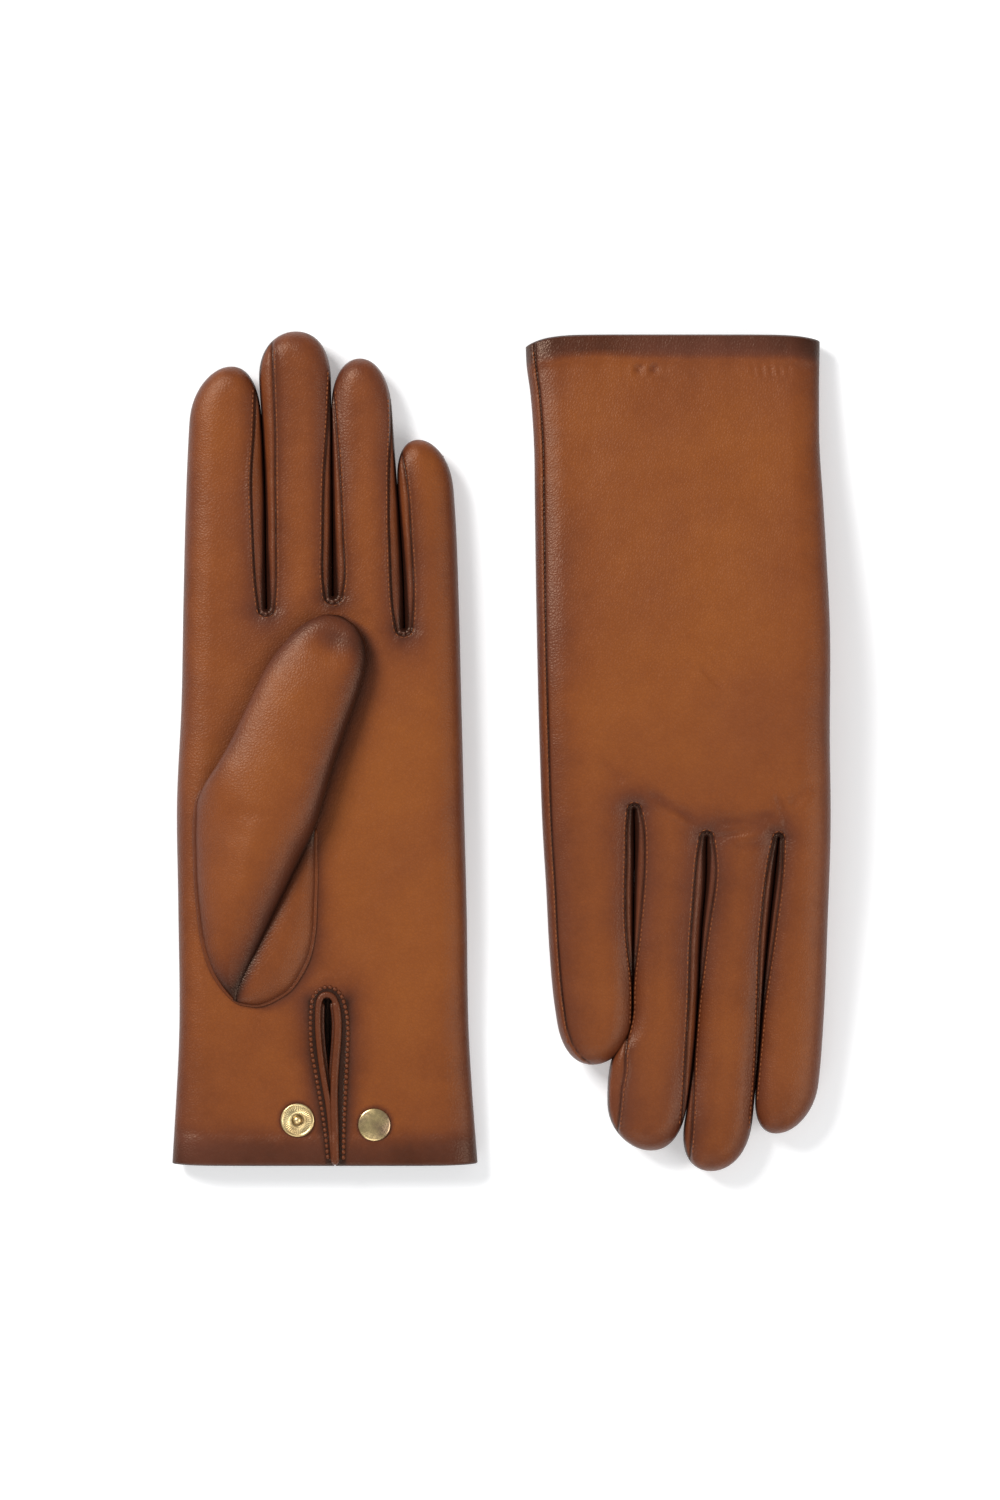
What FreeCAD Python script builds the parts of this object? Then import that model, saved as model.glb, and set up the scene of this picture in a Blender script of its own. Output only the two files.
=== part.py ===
"""A pair of leather dress gloves laid flat: the left glove palm up, the right glove palm down.

Millimetres. Each glove is drawn in its own hand frame: x runs from the index side to the little-finger
side, y from the cuff's edge to the fingertips, and z from the back of the hand to the palm. A pattern
piece is cut from a tube that runs through a list of cross-sections, so a wall is one tube less another.
"""

import FreeCAD
import Part

import math
import os

V = FreeCAD.Vector

# Leather and lining, measured inwards from the outside of the glove.
LEATHER = 1.0
HEM = (1.05, 1.75)
HEM_DEPTH = 11.5
LINING = (1.1, 1.6)
LINING_START = 11.8
CLEARANCE = 0.15        # half of the gap where a moving piece meets its neighbour
FAR = 400.0             # past the object on every side
SOLE = 0.05             # how much the left glove's back is flattened where it lies on the table

# The vent: a slit in the palm at the wrist, with a bound edge on each side.
VENT_X = 1.6
VENT_TOP = 54.0
VENT_HALF_TOP = 4.6
VENT_HALF_CUFF = 2.7
BINDING_WIDTH = 2.3
BINDING_THICK = 1.8
BINDING_PROUD = 0.5
FLAP_REACH = 29.0       # how far along the cuff's edge each lapel of the vent reaches

# The press stud.
STUD_X, STUD_Y = -8.4, 14.0
CAP_X, CAP_Y = 15.4, 12.6
DISC_R = 5.0
DISC_T = 0.9
RIB_COUNT = 32
BALL_R = 1.75
BALL_H = 2.1
POST_R = 1.4
SOCKET_R = 4.4
SOCKET_H = 2.1
SOCKET_HOLE_R = 2.0
BACKING_R = 4.4
BACKING_T = 0.6

# Slots between the fingers, which lean from the palm's seam to the back's longer one.
SLOT_HALF = 1.7
WEB_THICK = 0.7
SEAM_INSET = 4.0        # how far the finger seams lie inside a finger's widest line
TIP_SHARES = (1.0, 0.5, 0.2, 0.04)      # where a fingertip's sections lie, as shares of its rounding

# The thumb's own frame: s runs along the thumb from its hinge, t across it towards the little finger.
THUMB_X, THUMB_Y = -21.1, 106.0
THUMB_ANGLE = 69.0
HOLE_INSET = 2.0        # how far the hole in the palm lies inside the thumb piece's seam

# Each glove: hand sections (y, index side x, little side x, back z, palm z), and what differs in it.
# A finger: hinge y, base span, span at the tip, tip y, (back z, palm z) at the base and at the tip.
LEFT = {
    "hand": [(0, -47.4, 47.4, -SOLE, 9.5), (56, -45.3, 44.2, -SOLE, 12.3), (106, -45.6, 43.2, -SOLE, 13.0),
             (150, -44.4, 42.3, -SOLE, 13.0), (180, -44.0, 41.8, -SOLE, 13.0)],
    "rests_on_back": True,
    "fingers": {
        "index": (174, (-44.0, -18.6), (-42.3, -19.8), 246.5, (0, 13.0), (0, 12.4)),
        "middle": (178, (-18.0, 2.2), (-19.1, 2.0), 257.6, (0, 13.0), (0, 12.4)),
        "ring": (178, (2.8, 23.2), (2.6, 21.2), 248.9, (0, 13.0), (0, 12.4)),
        "little": (168, (24.0, 41.9), (22.5, 38.6), 223.8, (0, 13.0), (0, 12.0)),
    },
    "crotches": [(-18.3, 170.5, 155.0), (2.5, 174.2, 154.5), (23.6, 164.3, 146.0)],
    "thumb": [(0, 19.2, 13.3, 24.5), (22, 17.7, 13.3, 24.5), (45, 16.2, 13.3, 23.6),
              (57, 13.0, 13.3, 22.6), (65, 8.0, 13.4, 21.4), (68.5, 4.2, 14.0, 20.0)],
    "dome": [(0, -19.4, 20.0, 24.5), (-14, -14.9, 25.0, 22.8), (-28, -8.8, 28.9, 20.2),
             (-40, -2.3, 29.2, 17.6), (-48, 4.4, 25.5, 15.6), (-53, 12.0, 19.0, 14.2)],
}
RIGHT = {
    "rests_on_back": False,
    "hand": [(0, -45.6, 46.2, 1.0, 10.3), (56, -46.2, 43.2, -7.0, 5.0), (90, -48.0, 42.7, -11.0, 1.5),
             (140, -48.0, 41.4, -11.0, 1.5), (180, -47.8, 39.8, -8.0, 5.0)],
    "fingers": {
        "index": (176, (-47.8, -30.5), (-44.6, -25.2), 247.3, (-8.0, 5.0), (-0.7, 11.5)),
        "middle": (178, (-29.9, -9.7), (-24.0, -3.4), 259.2, (-8.0, 5.0), (-0.7, 11.5)),
        "ring": (178, (-9.1, 12.8), (-2.8, 19.6), 252.2, (-8.0, 5.0), (-0.7, 11.5)),
        "little": (168, (13.5, 40.2), (18.6, 35.6), 226.0, (-8.6, 4.0), (-0.7, 11.3)),
    },
    "crotches": [(-30.2, 170.5, 155.0), (-9.4, 174.2, 154.5), (13.1, 164.3, 146.0)],
    "thumb": [(0, 19.2, 1.9, 11.5), (22, 17.7, 1.9, 11.5), (35, 17.0, 2.2, 11.5),
              (57, 13.0, 4.3, 11.5), (65, 8.0, 5.0, 11.3), (68.5, 5.0, 5.6, 10.7)],
    "dome": [(0, -19.4, 20.0, 11.5), (-14, -14.9, 25.0, 11.1), (-28, -8.8, 28.9, 10.3),
             (-40, -2.3, 29.2, 9.3), (-48, 4.4, 25.5, 8.4), (-53, 12.0, 19.0, 7.6)],
}
FINGER_ORDER = ("index", "middle", "ring", "little")

# Where each glove's hand frame stands in the part's frame.
LEFT_ORIGIN = V(-54.5, -128.4, 0)
RIGHT_ORIGIN = V(53.9, 129.6, 11.5)


def box(x0, x1, y0, y1, z0=-FAR, z1=FAR):
    """A box between the given limits."""
    return Part.makeBox(x1 - x0, y1 - y0, z1 - z0, V(x0, y0, z0))


def prism(points, low=-FAR, high=FAR):
    """An upright prism over a plan polygon."""
    wire = Part.makePolygon([V(x, y, low) for x, y in points + points[:1]])
    return Part.Face(wire).extrude(V(0, 0, high - low))


def stadium(y, left, right, low, high):
    """A flat oval in an XZ plane: straight above and below, round at both ends."""
    r = (high - low) / 2
    middle = (high + low) / 2
    a, b = V(left + r, y, low), V(right - r, y, low)
    c, d = V(right - r, y, high), V(left + r, y, high)
    return Part.Wire([
        Part.LineSegment(a, b).toShape(),
        Part.Arc(b, V(right, y, middle), c).toShape(),
        Part.LineSegment(c, d).toShape(),
        Part.Arc(d, V(left, y, middle), a).toShape(),
    ])


def tube(sections, inset=0.0):
    """The solid through the sections, with its skin moved inwards by inset."""
    wires = [stadium(y, xl + inset, xr - inset, z0 + inset, z1 - inset) for y, xl, xr, z0, z1 in sections]
    return Part.makeLoft(wires, True, True)


def lengthened(sections, extra):
    """The same sections with the first and last carried outwards by extra."""
    first, last = sections[0], sections[-1]
    return [(first[0] - extra, *first[1:])] + sections + [(last[0] + extra, *last[1:])]


def at(sections, y):
    """The section's four measures at y."""
    for a, b in zip(sections, sections[1:]):
        if y <= b[0]:
            share = (y - a[0]) / (b[0] - a[0])
            return [p + (q - p) * share for p, q in zip(a[1:], b[1:])]
    return list(sections[-1][1:])


def palm_side(sections):
    """All the space on the palm's side of the tube's middle."""
    ends = lengthened(sections, 20)
    line = [V(-FAR, y, (z0 + z1) / 2) for y, _, _, z0, z1 in ends]
    top = [V(-FAR, ends[-1][0], FAR), V(-FAR, ends[0][0], FAR)]
    return Part.Face(Part.makePolygon(line + top + line[:1])).extrude(V(2 * FAR, 0, 0))


def finger_sections(finger, inset=0.0):
    """Sections of a finger, round at the tip, with the tip moved in by inset."""
    hinge, base, tip, tip_y, base_z, tip_z = finger
    start = hinge + CLEARANCE
    half = (tip[1] - tip[0]) / 2
    sections = [(start, *base, *base_z)]
    centre, middle = (tip[0] + tip[1]) / 2, (tip_z[0] + tip_z[1]) / 2
    reach = 0.9 * half
    for share in TIP_SHARES:
        width = half * math.sqrt(1 - (1 - share) ** 2)
        height = (tip_z[1] - tip_z[0]) / 2 * math.sqrt(1 - (1 - share) ** 4)
        width = max(width, height + inset * 0.5 + 0.6)
        y = tip_y - reach * (share - TIP_SHARES[-1]) - inset
        sections.append((y, centre - width, centre + width, middle - height, middle + height))
    return sections


def finger_wall(finger, outer, inner):
    """The wall of a finger between two insets, open at its base."""
    skin = tube(finger_sections(finger, outer), outer)
    core = finger_sections(finger, inner)
    core = [(core[0][0] - 5, *core[0][1:])] + core
    return skin.cut(tube(core, inner))


def seam_prism(finger, side):
    """The space outside one of a finger's seams: side is -1 towards the index, 1 towards the little finger."""
    hinge, base, tip, tip_y, _, _ = finger
    pick = 0 if side < 0 else 1
    a, b = base[pick] - side * SEAM_INSET, tip[pick] - side * SEAM_INSET
    return prism([(a, hinge - 1), (b, tip_y + 1), (b + side * 40, tip_y + 1), (a + side * 40, hinge - 1)])


def slot(glove, crotch, half):
    """A slot between two fingers that leans from the back's crotch to the palm's, as a filled U."""
    x, palm_y, back_y = crotch
    _, _, low, high = at(glove["hand"], palm_y)
    rise = V(0, palm_y - back_y, high - low)
    bottom = V(x, back_y, low) - rise * 0.3
    centre = bottom + V(0, half, 0)
    a, b = centre + V(-half, 0, 0), centre + V(half, 0, 0)
    c, d = b + V(0, 60, 0), a + V(0, 60, 0)
    outline = Part.Wire([
        Part.Arc(a, bottom, b).toShape(),
        Part.LineSegment(b, c).toShape(),
        Part.LineSegment(c, d).toShape(),
        Part.LineSegment(d, a).toShape(),
    ])
    return Part.Face(outline).extrude(rise * 1.6)


def finger_ends(glove, margin):
    """The space past each finger's hinge line."""
    spans = []
    edges = [-FAR] + [c[0] for c in glove["crotches"]] + [FAR]
    for name, left, right in zip(FINGER_ORDER, edges, edges[1:]):
        spans.append(box(left, right, glove["fingers"][name][0] - margin, FAR))
    return spans


def less(shape, cutters):
    """The shape with every cutter removed."""
    for c in cutters:
        shape = shape.cut(c)
    return shape


def vent_edge(side, y):
    """x of the vent's cut edge, on one side, at y."""
    share = y / VENT_TOP
    return VENT_X + side * (VENT_HALF_CUFF + (VENT_HALF_TOP - VENT_HALF_CUFF) * share)


def vent_slot():
    """The cut in the palm for the vent, with a round end."""
    top = VENT_TOP - VENT_HALF_TOP
    sides = [(vent_edge(-1, -5), -5), (vent_edge(-1, top), top), (vent_edge(1, top), top), (vent_edge(1, -5), -5)]
    end = Part.makeCylinder(VENT_HALF_TOP - 0.1, 2 * FAR, V(VENT_X, top, -FAR))
    return prism(sides).fuse(end)


def flap_line(side):
    """The fold line of a lapel, from beside the vent's end to the cuff's edge."""
    return (VENT_X + side * VENT_HALF_TOP, VENT_TOP - 1), (VENT_X + side * (VENT_HALF_TOP + FLAP_REACH), 0)


def flap_space(side, margin):
    """The plan space of a lapel, moved inwards from its fold line by margin."""
    (ax, ay), (bx, by) = flap_line(side)
    length = math.hypot(bx - ax, by - ay)
    nx, ny = side * (by - ay) / length, -side * (bx - ax) / length
    ax, ay, bx, by = ax + nx * margin, ay + ny * margin, bx + nx * margin, by + ny * margin
    cx, cy = bx + (bx - ax) * 0.2, by + (by - ay) * 0.2
    return prism([(ax, ay), (cx, cy), (VENT_X, cy), (VENT_X, ay)])


def palm_tilt(glove):
    """The palm's slope at the wrist, in degrees."""
    (y0, _, _, _, z0), (y1, _, _, _, z1) = glove["hand"][:2]
    return math.degrees(math.atan2(z1 - z0, y1 - y0))


def on_palm(glove, shape, x, y, depth=0.0):
    """A shape drawn about the origin with z outwards, set on the palm at x, y and sunk by depth."""
    shape = shape.copy()
    tilt = palm_tilt(glove)
    shape.rotate(V(), V(1, 0, 0), tilt)
    normal = V(0, -math.sin(math.radians(tilt)), math.cos(math.radians(tilt)))
    shape.translate(V(x, y, at(glove["hand"], y)[3]) - normal * depth)
    return shape


def turned(points):
    """A solid of revolution about z, from its half profile (radius, height)."""
    wire = Part.makePolygon([V(r, 0, z) for r, z in points + points[:1]])
    return Part.Face(wire).revolve(V(), V(0, 0, 1), 360)


def stud_disc():
    """The stud's sunburst flange with its ball, and the rivet that goes through the leather."""
    flange = turned([(0, 0.02), (DISC_R, 0.02), (DISC_R, 0.45), (DISC_R - 0.25, 0.7), (DISC_R - 0.8, 0.7),
                     (DISC_R - 0.95, 0.5), (BALL_R + 0.85, 0.5), (BALL_R + 0.7, 0.75), (BALL_R + 0.2, 0.75),
                     (0, 0.75)])
    neck = Part.makeCylinder(BALL_R - 0.35, BALL_H - 0.4, V(0, 0, 0.4))
    ball = Part.makeSphere(BALL_R, V(0, 0, BALL_H - BALL_R))
    ball = ball.common(box(-9, 9, -9, 9, 0.6, 9))
    rivet = Part.makeCylinder(POST_R, LEATHER + 0.75, V(0, 0, -LEATHER - 0.7))
    shape = flange.fuse([neck, ball, rivet])
    ribs = []
    for n in range(RIB_COUNT):
        rib = box(BALL_R + 1.05, DISC_R - 1.1, -0.11, 0.11, 0.4, 0.68)
        rib.rotate(V(), V(0, 0, 1), 360 * n / RIB_COUNT)
        ribs.append(rib)
    return shape.fuse(ribs).removeSplitter()


def stud_backing():
    """The flanged ring inside the glove that the stud's rivet is set in."""
    z = -LEATHER - 0.02
    ring = turned([(POST_R + 0.02, z), (BACKING_R, z), (BACKING_R, z - BACKING_T + 0.15),
                   (BACKING_R - 0.2, z - BACKING_T), (POST_R + 0.02, z - BACKING_T)])
    return ring


def cap_disc():
    """The outer cap: a shallow dome with a rolled rim, and its rivet."""
    dome = turned([(0, 0.02), (DISC_R - 0.35, 0.02), (DISC_R, 0.3), (DISC_R + 0.05, 0.55), (DISC_R - 0.2, 0.8),
                   (DISC_R - 0.7, 0.92), (DISC_R * 0.5, 1.08), (0, 1.15)])
    rivet = Part.makeCylinder(POST_R, LEATHER + 0.9, V(0, 0, -LEATHER - 0.85))
    return dome.fuse(rivet)


def socket_ring():
    """The spring socket inside the glove, open towards the hand."""
    z = -LEATHER - 0.02
    return turned([(POST_R + 0.02, z), (SOCKET_R, z), (SOCKET_R, z - 0.6), (SOCKET_R - 0.9, z - 0.8),
                   (SOCKET_R - 1.2, z - SOCKET_H + 0.2), (SOCKET_R - 1.5, z - SOCKET_H),
                   (SOCKET_HOLE_R + 0.1, z - SOCKET_H), (SOCKET_HOLE_R, z - SOCKET_H + 0.3),
                   (SOCKET_HOLE_R, z - 0.7), (POST_R + 0.02, z - 0.7)])


def binding(glove, side):
    """One bound edge of the vent: a rounded strip along the cut, on one side."""
    inner = vent_edge(side, 0) - side * (BINDING_WIDTH + 0.05)
    edge = vent_edge(side, VENT_TOP)
    top = VENT_TOP - VENT_HALF_TOP - 0.5
    inner_top = edge - side * (BINDING_WIDTH + 0.05)
    outer, outer_top = vent_edge(side, 0) - side * 0.05, vent_edge(side, top) - side * 0.05
    plan = prism([(inner, 0.2), (outer, 0.2), (outer_top, top), (inner_top, top)])
    sheet = lengthened(glove["hand"], 10)
    skin = tube([(y, xl, xr, z0, z1 + BINDING_PROUD) for y, xl, xr, z0, z1 in sheet])
    core = tube([(y, xl, xr, z0, z1 + BINDING_PROUD - BINDING_THICK) for y, xl, xr, z0, z1 in sheet])
    return plan.common(skin.cut(core)).common(palm_side(glove["hand"]))


def to_thumb(shape):
    """From the thumb's frame, with t along x and s along y, into the hand frame."""
    shape.rotate(V(), V(0, 0, 1), THUMB_ANGLE - 90)
    shape.translate(V(THUMB_X, THUMB_Y, 0))
    return shape


def thumb_sections(glove, inset=0.0):
    """Sections of the thumb past its hinge."""
    rows = [(s, -half, half, low, high) for s, half, low, high in glove["thumb"]]
    rows[0] = (CLEARANCE, *rows[0][1:])
    tip = rows[-1]
    return rows[:-1] + [(tip[0] - inset, *tip[1:])]


def thumb_wall(glove, outer, inner):
    """The thumb's wall between two insets, open at its base."""
    core = thumb_sections(glove, inner)
    core = [(core[0][0] - 5, *core[0][1:])] + core
    return to_thumb(tube(thumb_sections(glove, outer), outer).cut(tube(core, inner)))


def hood(sections, inset, floor):
    """A round-topped hood through (s, left, right, crown) sections, standing on floor."""
    wires = []
    for s, left, right, crown in sections:
        left, right, crown = left + inset, right - inset, crown - inset
        r = min((crown - floor) * 0.9, (right - left) * 0.45)
        a, b = V(left, s, floor), V(right, s, floor)
        c, d = V(right, s, crown - r), V(right - r, s, crown)
        e, f = V(left + r, s, crown), V(left, s, crown - r)
        k = r * (1 - math.sqrt(0.5))
        wires.append(Part.Wire([
            Part.LineSegment(a, b).toShape(),
            Part.LineSegment(b, c).toShape(),
            Part.Arc(c, V(right - k, s, crown - k), d).toShape(),
            Part.LineSegment(d, e).toShape(),
            Part.Arc(e, V(left + k, s, crown - k), f).toShape(),
            Part.LineSegment(f, a).toShape(),
        ]))
    return Part.makeLoft(wires, True, True)


def thumb_hood(glove):
    """The set-in base of the thumb piece: a hood over the hole in the palm, open towards the thumb."""
    rows = [(s - CLEARANCE if s == 0 else s, left, right, crown) for s, left, right, crown in glove["dome"]]
    floor = min(z1 for _, _, _, _, z1 in glove["hand"]) - 3
    tip = rows[-1]
    inner = [(5, *rows[0][1:])] + rows[:-1] + [(tip[0] + 2.5, tip[1], tip[2], tip[3])]
    shell = hood(rows, 0, floor).cut(hood(inner, LEATHER, floor - 1))
    return to_thumb(shell).cut(tube(lengthened(glove["hand"], 1)))


def thumb_hole(glove, inset):
    """The hole in the palm that the thumb piece is set in, inset from that piece's outline."""
    rows = glove["dome"]
    up = [(left + inset, s) for s, left, _, _ in rows]
    down = [(right - inset, s) for s, _, right, _ in reversed(rows)]
    end = rows[-1]
    foot = [((end[1] + end[2]) / 2, end[0] + inset)]
    return to_thumb(prism(up[:-1] + foot + down[1:]))


def hand_pieces(glove):
    """The pieces of the hand that don't move."""
    hand = glove["hand"]
    long = lengthened(hand, 5)
    ends = finger_ends(glove, CLEARANCE)
    slots = [slot(glove, c, SLOT_HALF) for c in glove["crotches"]]
    length = box(-FAR, FAR, 0, FAR)
    wall = less(tube(hand).cut(tube(long, LEATHER)), ends + slots)
    palm = wall.common(palm_side(hand))
    back = wall.cut(palm_side(hand))
    flaps = [flap_space(side, -CLEARANCE).common(palm_side(hand)) for side in (-1, 1)]
    palm = less(palm, [thumb_hole(glove, HOLE_INSET), vent_slot().common(palm_side(hand))] + flaps)

    snap_room = [on_palm(glove, Part.makeCylinder(6, 8, V(0, 0, -7)), x, y)
                 for x, y in ((STUD_X, STUD_Y), (CAP_X, CAP_Y))]
    hem = tube(long, HEM[0]).cut(tube(long, HEM[1])).common(length).cut(box(-FAR, FAR, HEM_DEPTH, FAR))
    hem = less(hem, [vent_slot().common(palm_side(hand))] + flaps + snap_room)

    wide = [slot(glove, c, SLOT_HALF + 0.1) for c in glove["crotches"]]
    lining = tube(long, LINING[0]).cut(tube(long, LINING[1])).cut(box(-FAR, FAR, -FAR, LINING_START))
    vent = prism([(VENT_X - 40, -5), (VENT_X + 40, -5), (VENT_X + 6, VENT_TOP + 2), (VENT_X - 6, VENT_TOP + 2)])
    lining = less(lining, ends + wide + [thumb_hole(glove, 0.5 * HOLE_INSET), vent.common(palm_side(hand))])

    webs = []
    for n, crotch in enumerate(glove["crotches"]):
        sides = [glove["fingers"][FINGER_ORDER[n + k]][0] for k in (0, 1)]
        web = slot(glove, crotch, SLOT_HALF - 0.05).cut(slot(glove, crotch, SLOT_HALF - 0.05 - WEB_THICK)
                                                        .translated(V(0, WEB_THICK, 0)))
        web = web.common(tube(long)).cut(box(-FAR, FAR, min(sides) - CLEARANCE, FAR))
        webs.append(web)
    if glove["rests_on_back"]:
        table = box(-FAR, FAR, -FAR, FAR, -FAR, 0)
        back = back.cut(table)
        webs = [web.cut(table) for web in webs]
    return {
        "palm_leather": palm,
        "back_leather": back,
        "cuff_hem": hem,
        "hand_lining": lining,
        "finger_webs": Part.makeCompound(webs),
        "thumb_base": thumb_hood(glove),
    }


def flap_pieces(glove):
    """The two lapels of the vent, with their bound edges and the halves of the press stud."""
    hand = glove["hand"]
    sheet = tube(hand).cut(tube(lengthened(hand, 5), LEATHER)).common(palm_side(hand))
    holes = [on_palm(glove, Part.makeCylinder(POST_R + 0.02, 8, V(0, 0, -4)), x, y)
             for x, y in ((STUD_X, STUD_Y), (CAP_X, CAP_Y))]
    pieces = {}
    for side, name in ((-1, "stud_flap"), (1, "cap_flap")):
        leather = less(sheet.common(flap_space(side, CLEARANCE)), [vent_slot()] + holes)
        pieces[name] = leather
        pieces[name + "_binding"] = binding(glove, side)
    pieces["snap_stud"] = on_palm(glove, stud_disc(), STUD_X, STUD_Y)
    pieces["snap_stud_backing"] = on_palm(glove, stud_backing(), STUD_X, STUD_Y)
    pieces["snap_cap"] = on_palm(glove, cap_disc(), CAP_X, CAP_Y)
    pieces["snap_socket"] = on_palm(glove, socket_ring(), CAP_X, CAP_Y)
    return pieces


def finger_pieces(glove):
    """Each finger's leather, its fourchettes and its lining."""
    pieces = {}
    for n, name in enumerate(FINGER_ORDER):
        finger = glove["fingers"][name]
        wall = finger_wall(finger, 0, LEATHER)
        sides = [(-1, "fourchette_to_" + FINGER_ORDER[n - 1])] if n > 0 else []
        if n < 3:
            sides.append((1, "fourchette_to_" + FINGER_ORDER[n + 1]))
        for side, label in sides:
            space = seam_prism(finger, side)
            pieces[f"{name}_{label}"] = wall.common(space)
            wall = wall.cut(space)
        pieces[name + "_leather"] = wall
        pieces[name + "_lining"] = finger_wall(finger, *LINING)
    return pieces


def thumb_pieces(glove):
    """The thumb past its hinge: leather and lining."""
    return {"thumb_leather": thumb_wall(glove, 0, LEATHER), "thumb_lining": thumb_wall(glove, *LINING)}


def glove_pieces(glove):
    """Every piece of one glove in its hand frame."""
    return {**hand_pieces(glove), **flap_pieces(glove), **finger_pieces(glove), **thumb_pieces(glove)}


def place_left(shape):
    """From the left glove's hand frame into the part's frame."""
    return shape.translated(LEFT_ORIGIN)


def place_right(shape):
    """From the right glove's hand frame: a mirrored hand, turned over, with its fingers the other way."""
    shape = shape.mirror(V(), V(1, 0, 0))
    shape.rotate(V(), V(1, 0, 0), 180)
    shape.translate(RIGHT_ORIGIN)
    return shape


os.makedirs("parts", exist_ok=True)
whole = FreeCAD.BoundBox()
for hand_name, glove, place in (("left", LEFT, place_left), ("right", RIGHT, place_right)):
    for piece, shape in glove_pieces(glove).items():
        placed = place(shape)
        solids = placed.Solids
        node = f"{hand_name}_{piece}"
        if not solids or not all(s.isValid() for s in solids):
            print("invalid", node, len(solids))
        result = solids[0] if len(solids) == 1 else Part.makeCompound(solids)
        whole.add(result.BoundBox)
        result.exportStep(f"parts/{node}.step")
        print(f"{node}: {len(solids)} solid, {result.Volume:.0f} mm3")
print("bounds", whole)
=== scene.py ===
"""Two burnished leather dress gloves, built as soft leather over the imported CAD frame.

Lengths are millimetres in each glove's hand frame, as in the CAD: x runs from the index side to the
little-finger side, y from the cuff's edge to the fingertips, and z from the back of the hand to the palm.
"""

import math

import bmesh
import bpy
import numpy as np
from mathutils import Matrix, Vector, noise


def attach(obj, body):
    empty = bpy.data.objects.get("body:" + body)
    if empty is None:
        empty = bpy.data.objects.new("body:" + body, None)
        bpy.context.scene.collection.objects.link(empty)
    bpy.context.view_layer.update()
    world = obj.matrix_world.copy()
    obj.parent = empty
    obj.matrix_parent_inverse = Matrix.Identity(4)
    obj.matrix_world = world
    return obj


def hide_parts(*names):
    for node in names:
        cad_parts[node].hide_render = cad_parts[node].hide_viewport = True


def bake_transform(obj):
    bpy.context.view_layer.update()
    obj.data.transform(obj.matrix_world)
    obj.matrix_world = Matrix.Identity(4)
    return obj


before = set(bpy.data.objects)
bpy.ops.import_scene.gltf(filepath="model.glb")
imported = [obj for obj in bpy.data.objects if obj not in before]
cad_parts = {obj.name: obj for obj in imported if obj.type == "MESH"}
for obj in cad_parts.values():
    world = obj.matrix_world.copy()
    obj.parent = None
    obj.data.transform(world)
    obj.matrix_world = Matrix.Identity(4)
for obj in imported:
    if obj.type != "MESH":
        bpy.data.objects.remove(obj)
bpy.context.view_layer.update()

# ---------------------------------------------------------------- sizes shared by both gloves

GAP_ROLL = 6.5          # rounding radius of the leather where it turns down between two fingers
TIP_ROLL = 6.0          # rounding radius of a fingertip, seen from the side
TIP_POWER = 2.35        # shape of a fingertip's outline
TIP_SHARE = 0.48
TIP_FADE = 20.0         # length past a knuckle over which the tip's rounding takes effect
PIT_SQUEEZE = 1.35      # how much shorter the dip below a crotch is than it is wide
WEB_DROP = 0.45         # how far a fourchette lies below the edge of the leather it is sewn to
LIP = 0.30              # height of the sewn edge's roll
LIP_WIDTH = 0.55
U_SQUASH = 0.9          # depth of the round bottom of a finger seam, as a share of its half-width
TURN_DOWN = 0.9         # how far a sewn edge turns down
HEM_DEPTH = 8.6         # how far the turned hem reaches from the cuff's edge
HEM_STEP = 0.35         # how much the leather rises over it
LEATHER = 1.0           # thickness of the leather
BLEND_LENGTH = 13.0     # length of leather that bends at a knuckle
SPLIT_BEFORE = 1.0      # how far before a knuckle's hinge its finger piece starts
TUCK = 0.3              # how far a fourchette reaches under the leather it is sewn to
SILHOUETTE_BASE = (162.0, 156.0)    # y where the index and little fingers' rows start at the outline
FOLD_WIDTH = 3.2        # length of leather that bends at a lapel's fold
STITCH_PITCH = 1.5
STITCH_LENGTH = 1.2
STITCH_RADIUS = 0.2
CROTCH_STITCH_RADIUS = 0.13
SEAM_STITCH_INSET = 0.55    # how far the stitches lie from a finger's sewn edge
SIDE_SEAM_INSET = 2.35      # how far the side seam's stitches lie from the little-finger side's outline
STITCH_SIDES = 6
STITCH_PROFILE = [      # (place along, thickness share, lift) from one end of a stitch to the other
    (-0.5, 0.25, -0.12), (-0.34, 0.85, 0.03), (-0.12, 1.0, 0.10), (0.12, 1.0, 0.10), (0.34, 0.85, 0.03),
    (0.5, 0.25, -0.12)]
STITCH_DARK = 0.40
PUCKER_RADIUS = 0.64    # the puckered row round the vent is made of big stitches of leather
PUCKER_PITCH = 1.65
PUCKER_LENGTH = 1.5
STUD_TUBE = (1.9, 1.9, -0.85)   # width, thickness and depth of a bound edge
CAP_TUBE = (2.4, 2.1, -0.9)
WELT_PITCH = 0.8
END_SIZES = (0.45, 0.9)     # how a swept strip tapers at its ends
# How far the cuff's edge draws back: everywhere, and at its corners at low x and at high x.
CUFF_BOW = {"left": (0.0, 0.5, 0.6), "right": (0.8, 2.3, 3.9)}
BOW_FADE = 45.0
CORNER_X = 46.5
LEFT_ORIGIN = (-54.5, -128.4, 0.0)      # where each glove's hand frame lies in the row
RIGHT_ORIGIN = (53.9, 129.6, 11.5)      # the right glove's frame is reversed along all three axes
THUMB_SPLIT = -4.0      # s where the thumb's free leather starts
THUMB_BLEND = 14.0      # length of leather that bends at the thumb's root
THUMB_TIP = 69.3
THUMB_FOOT = -53.7      # s of the thumb piece's end near the cuff
THUMB_ROLL = 4.5        # rounding radius of the thumb's tip, seen from the side
THUMB_ROUND = 14.0      # length of its rounded outline
THUMB_PITCH = 1.6
THUMB_RIDGE = 0.55      # where the thumb is highest, as a share of its width
THUMB_FALL = 0.45       # and the rest of its width, towards the fold
THUMB_SIDE = 0.38       # where its sides meet, as a share of its height
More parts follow.
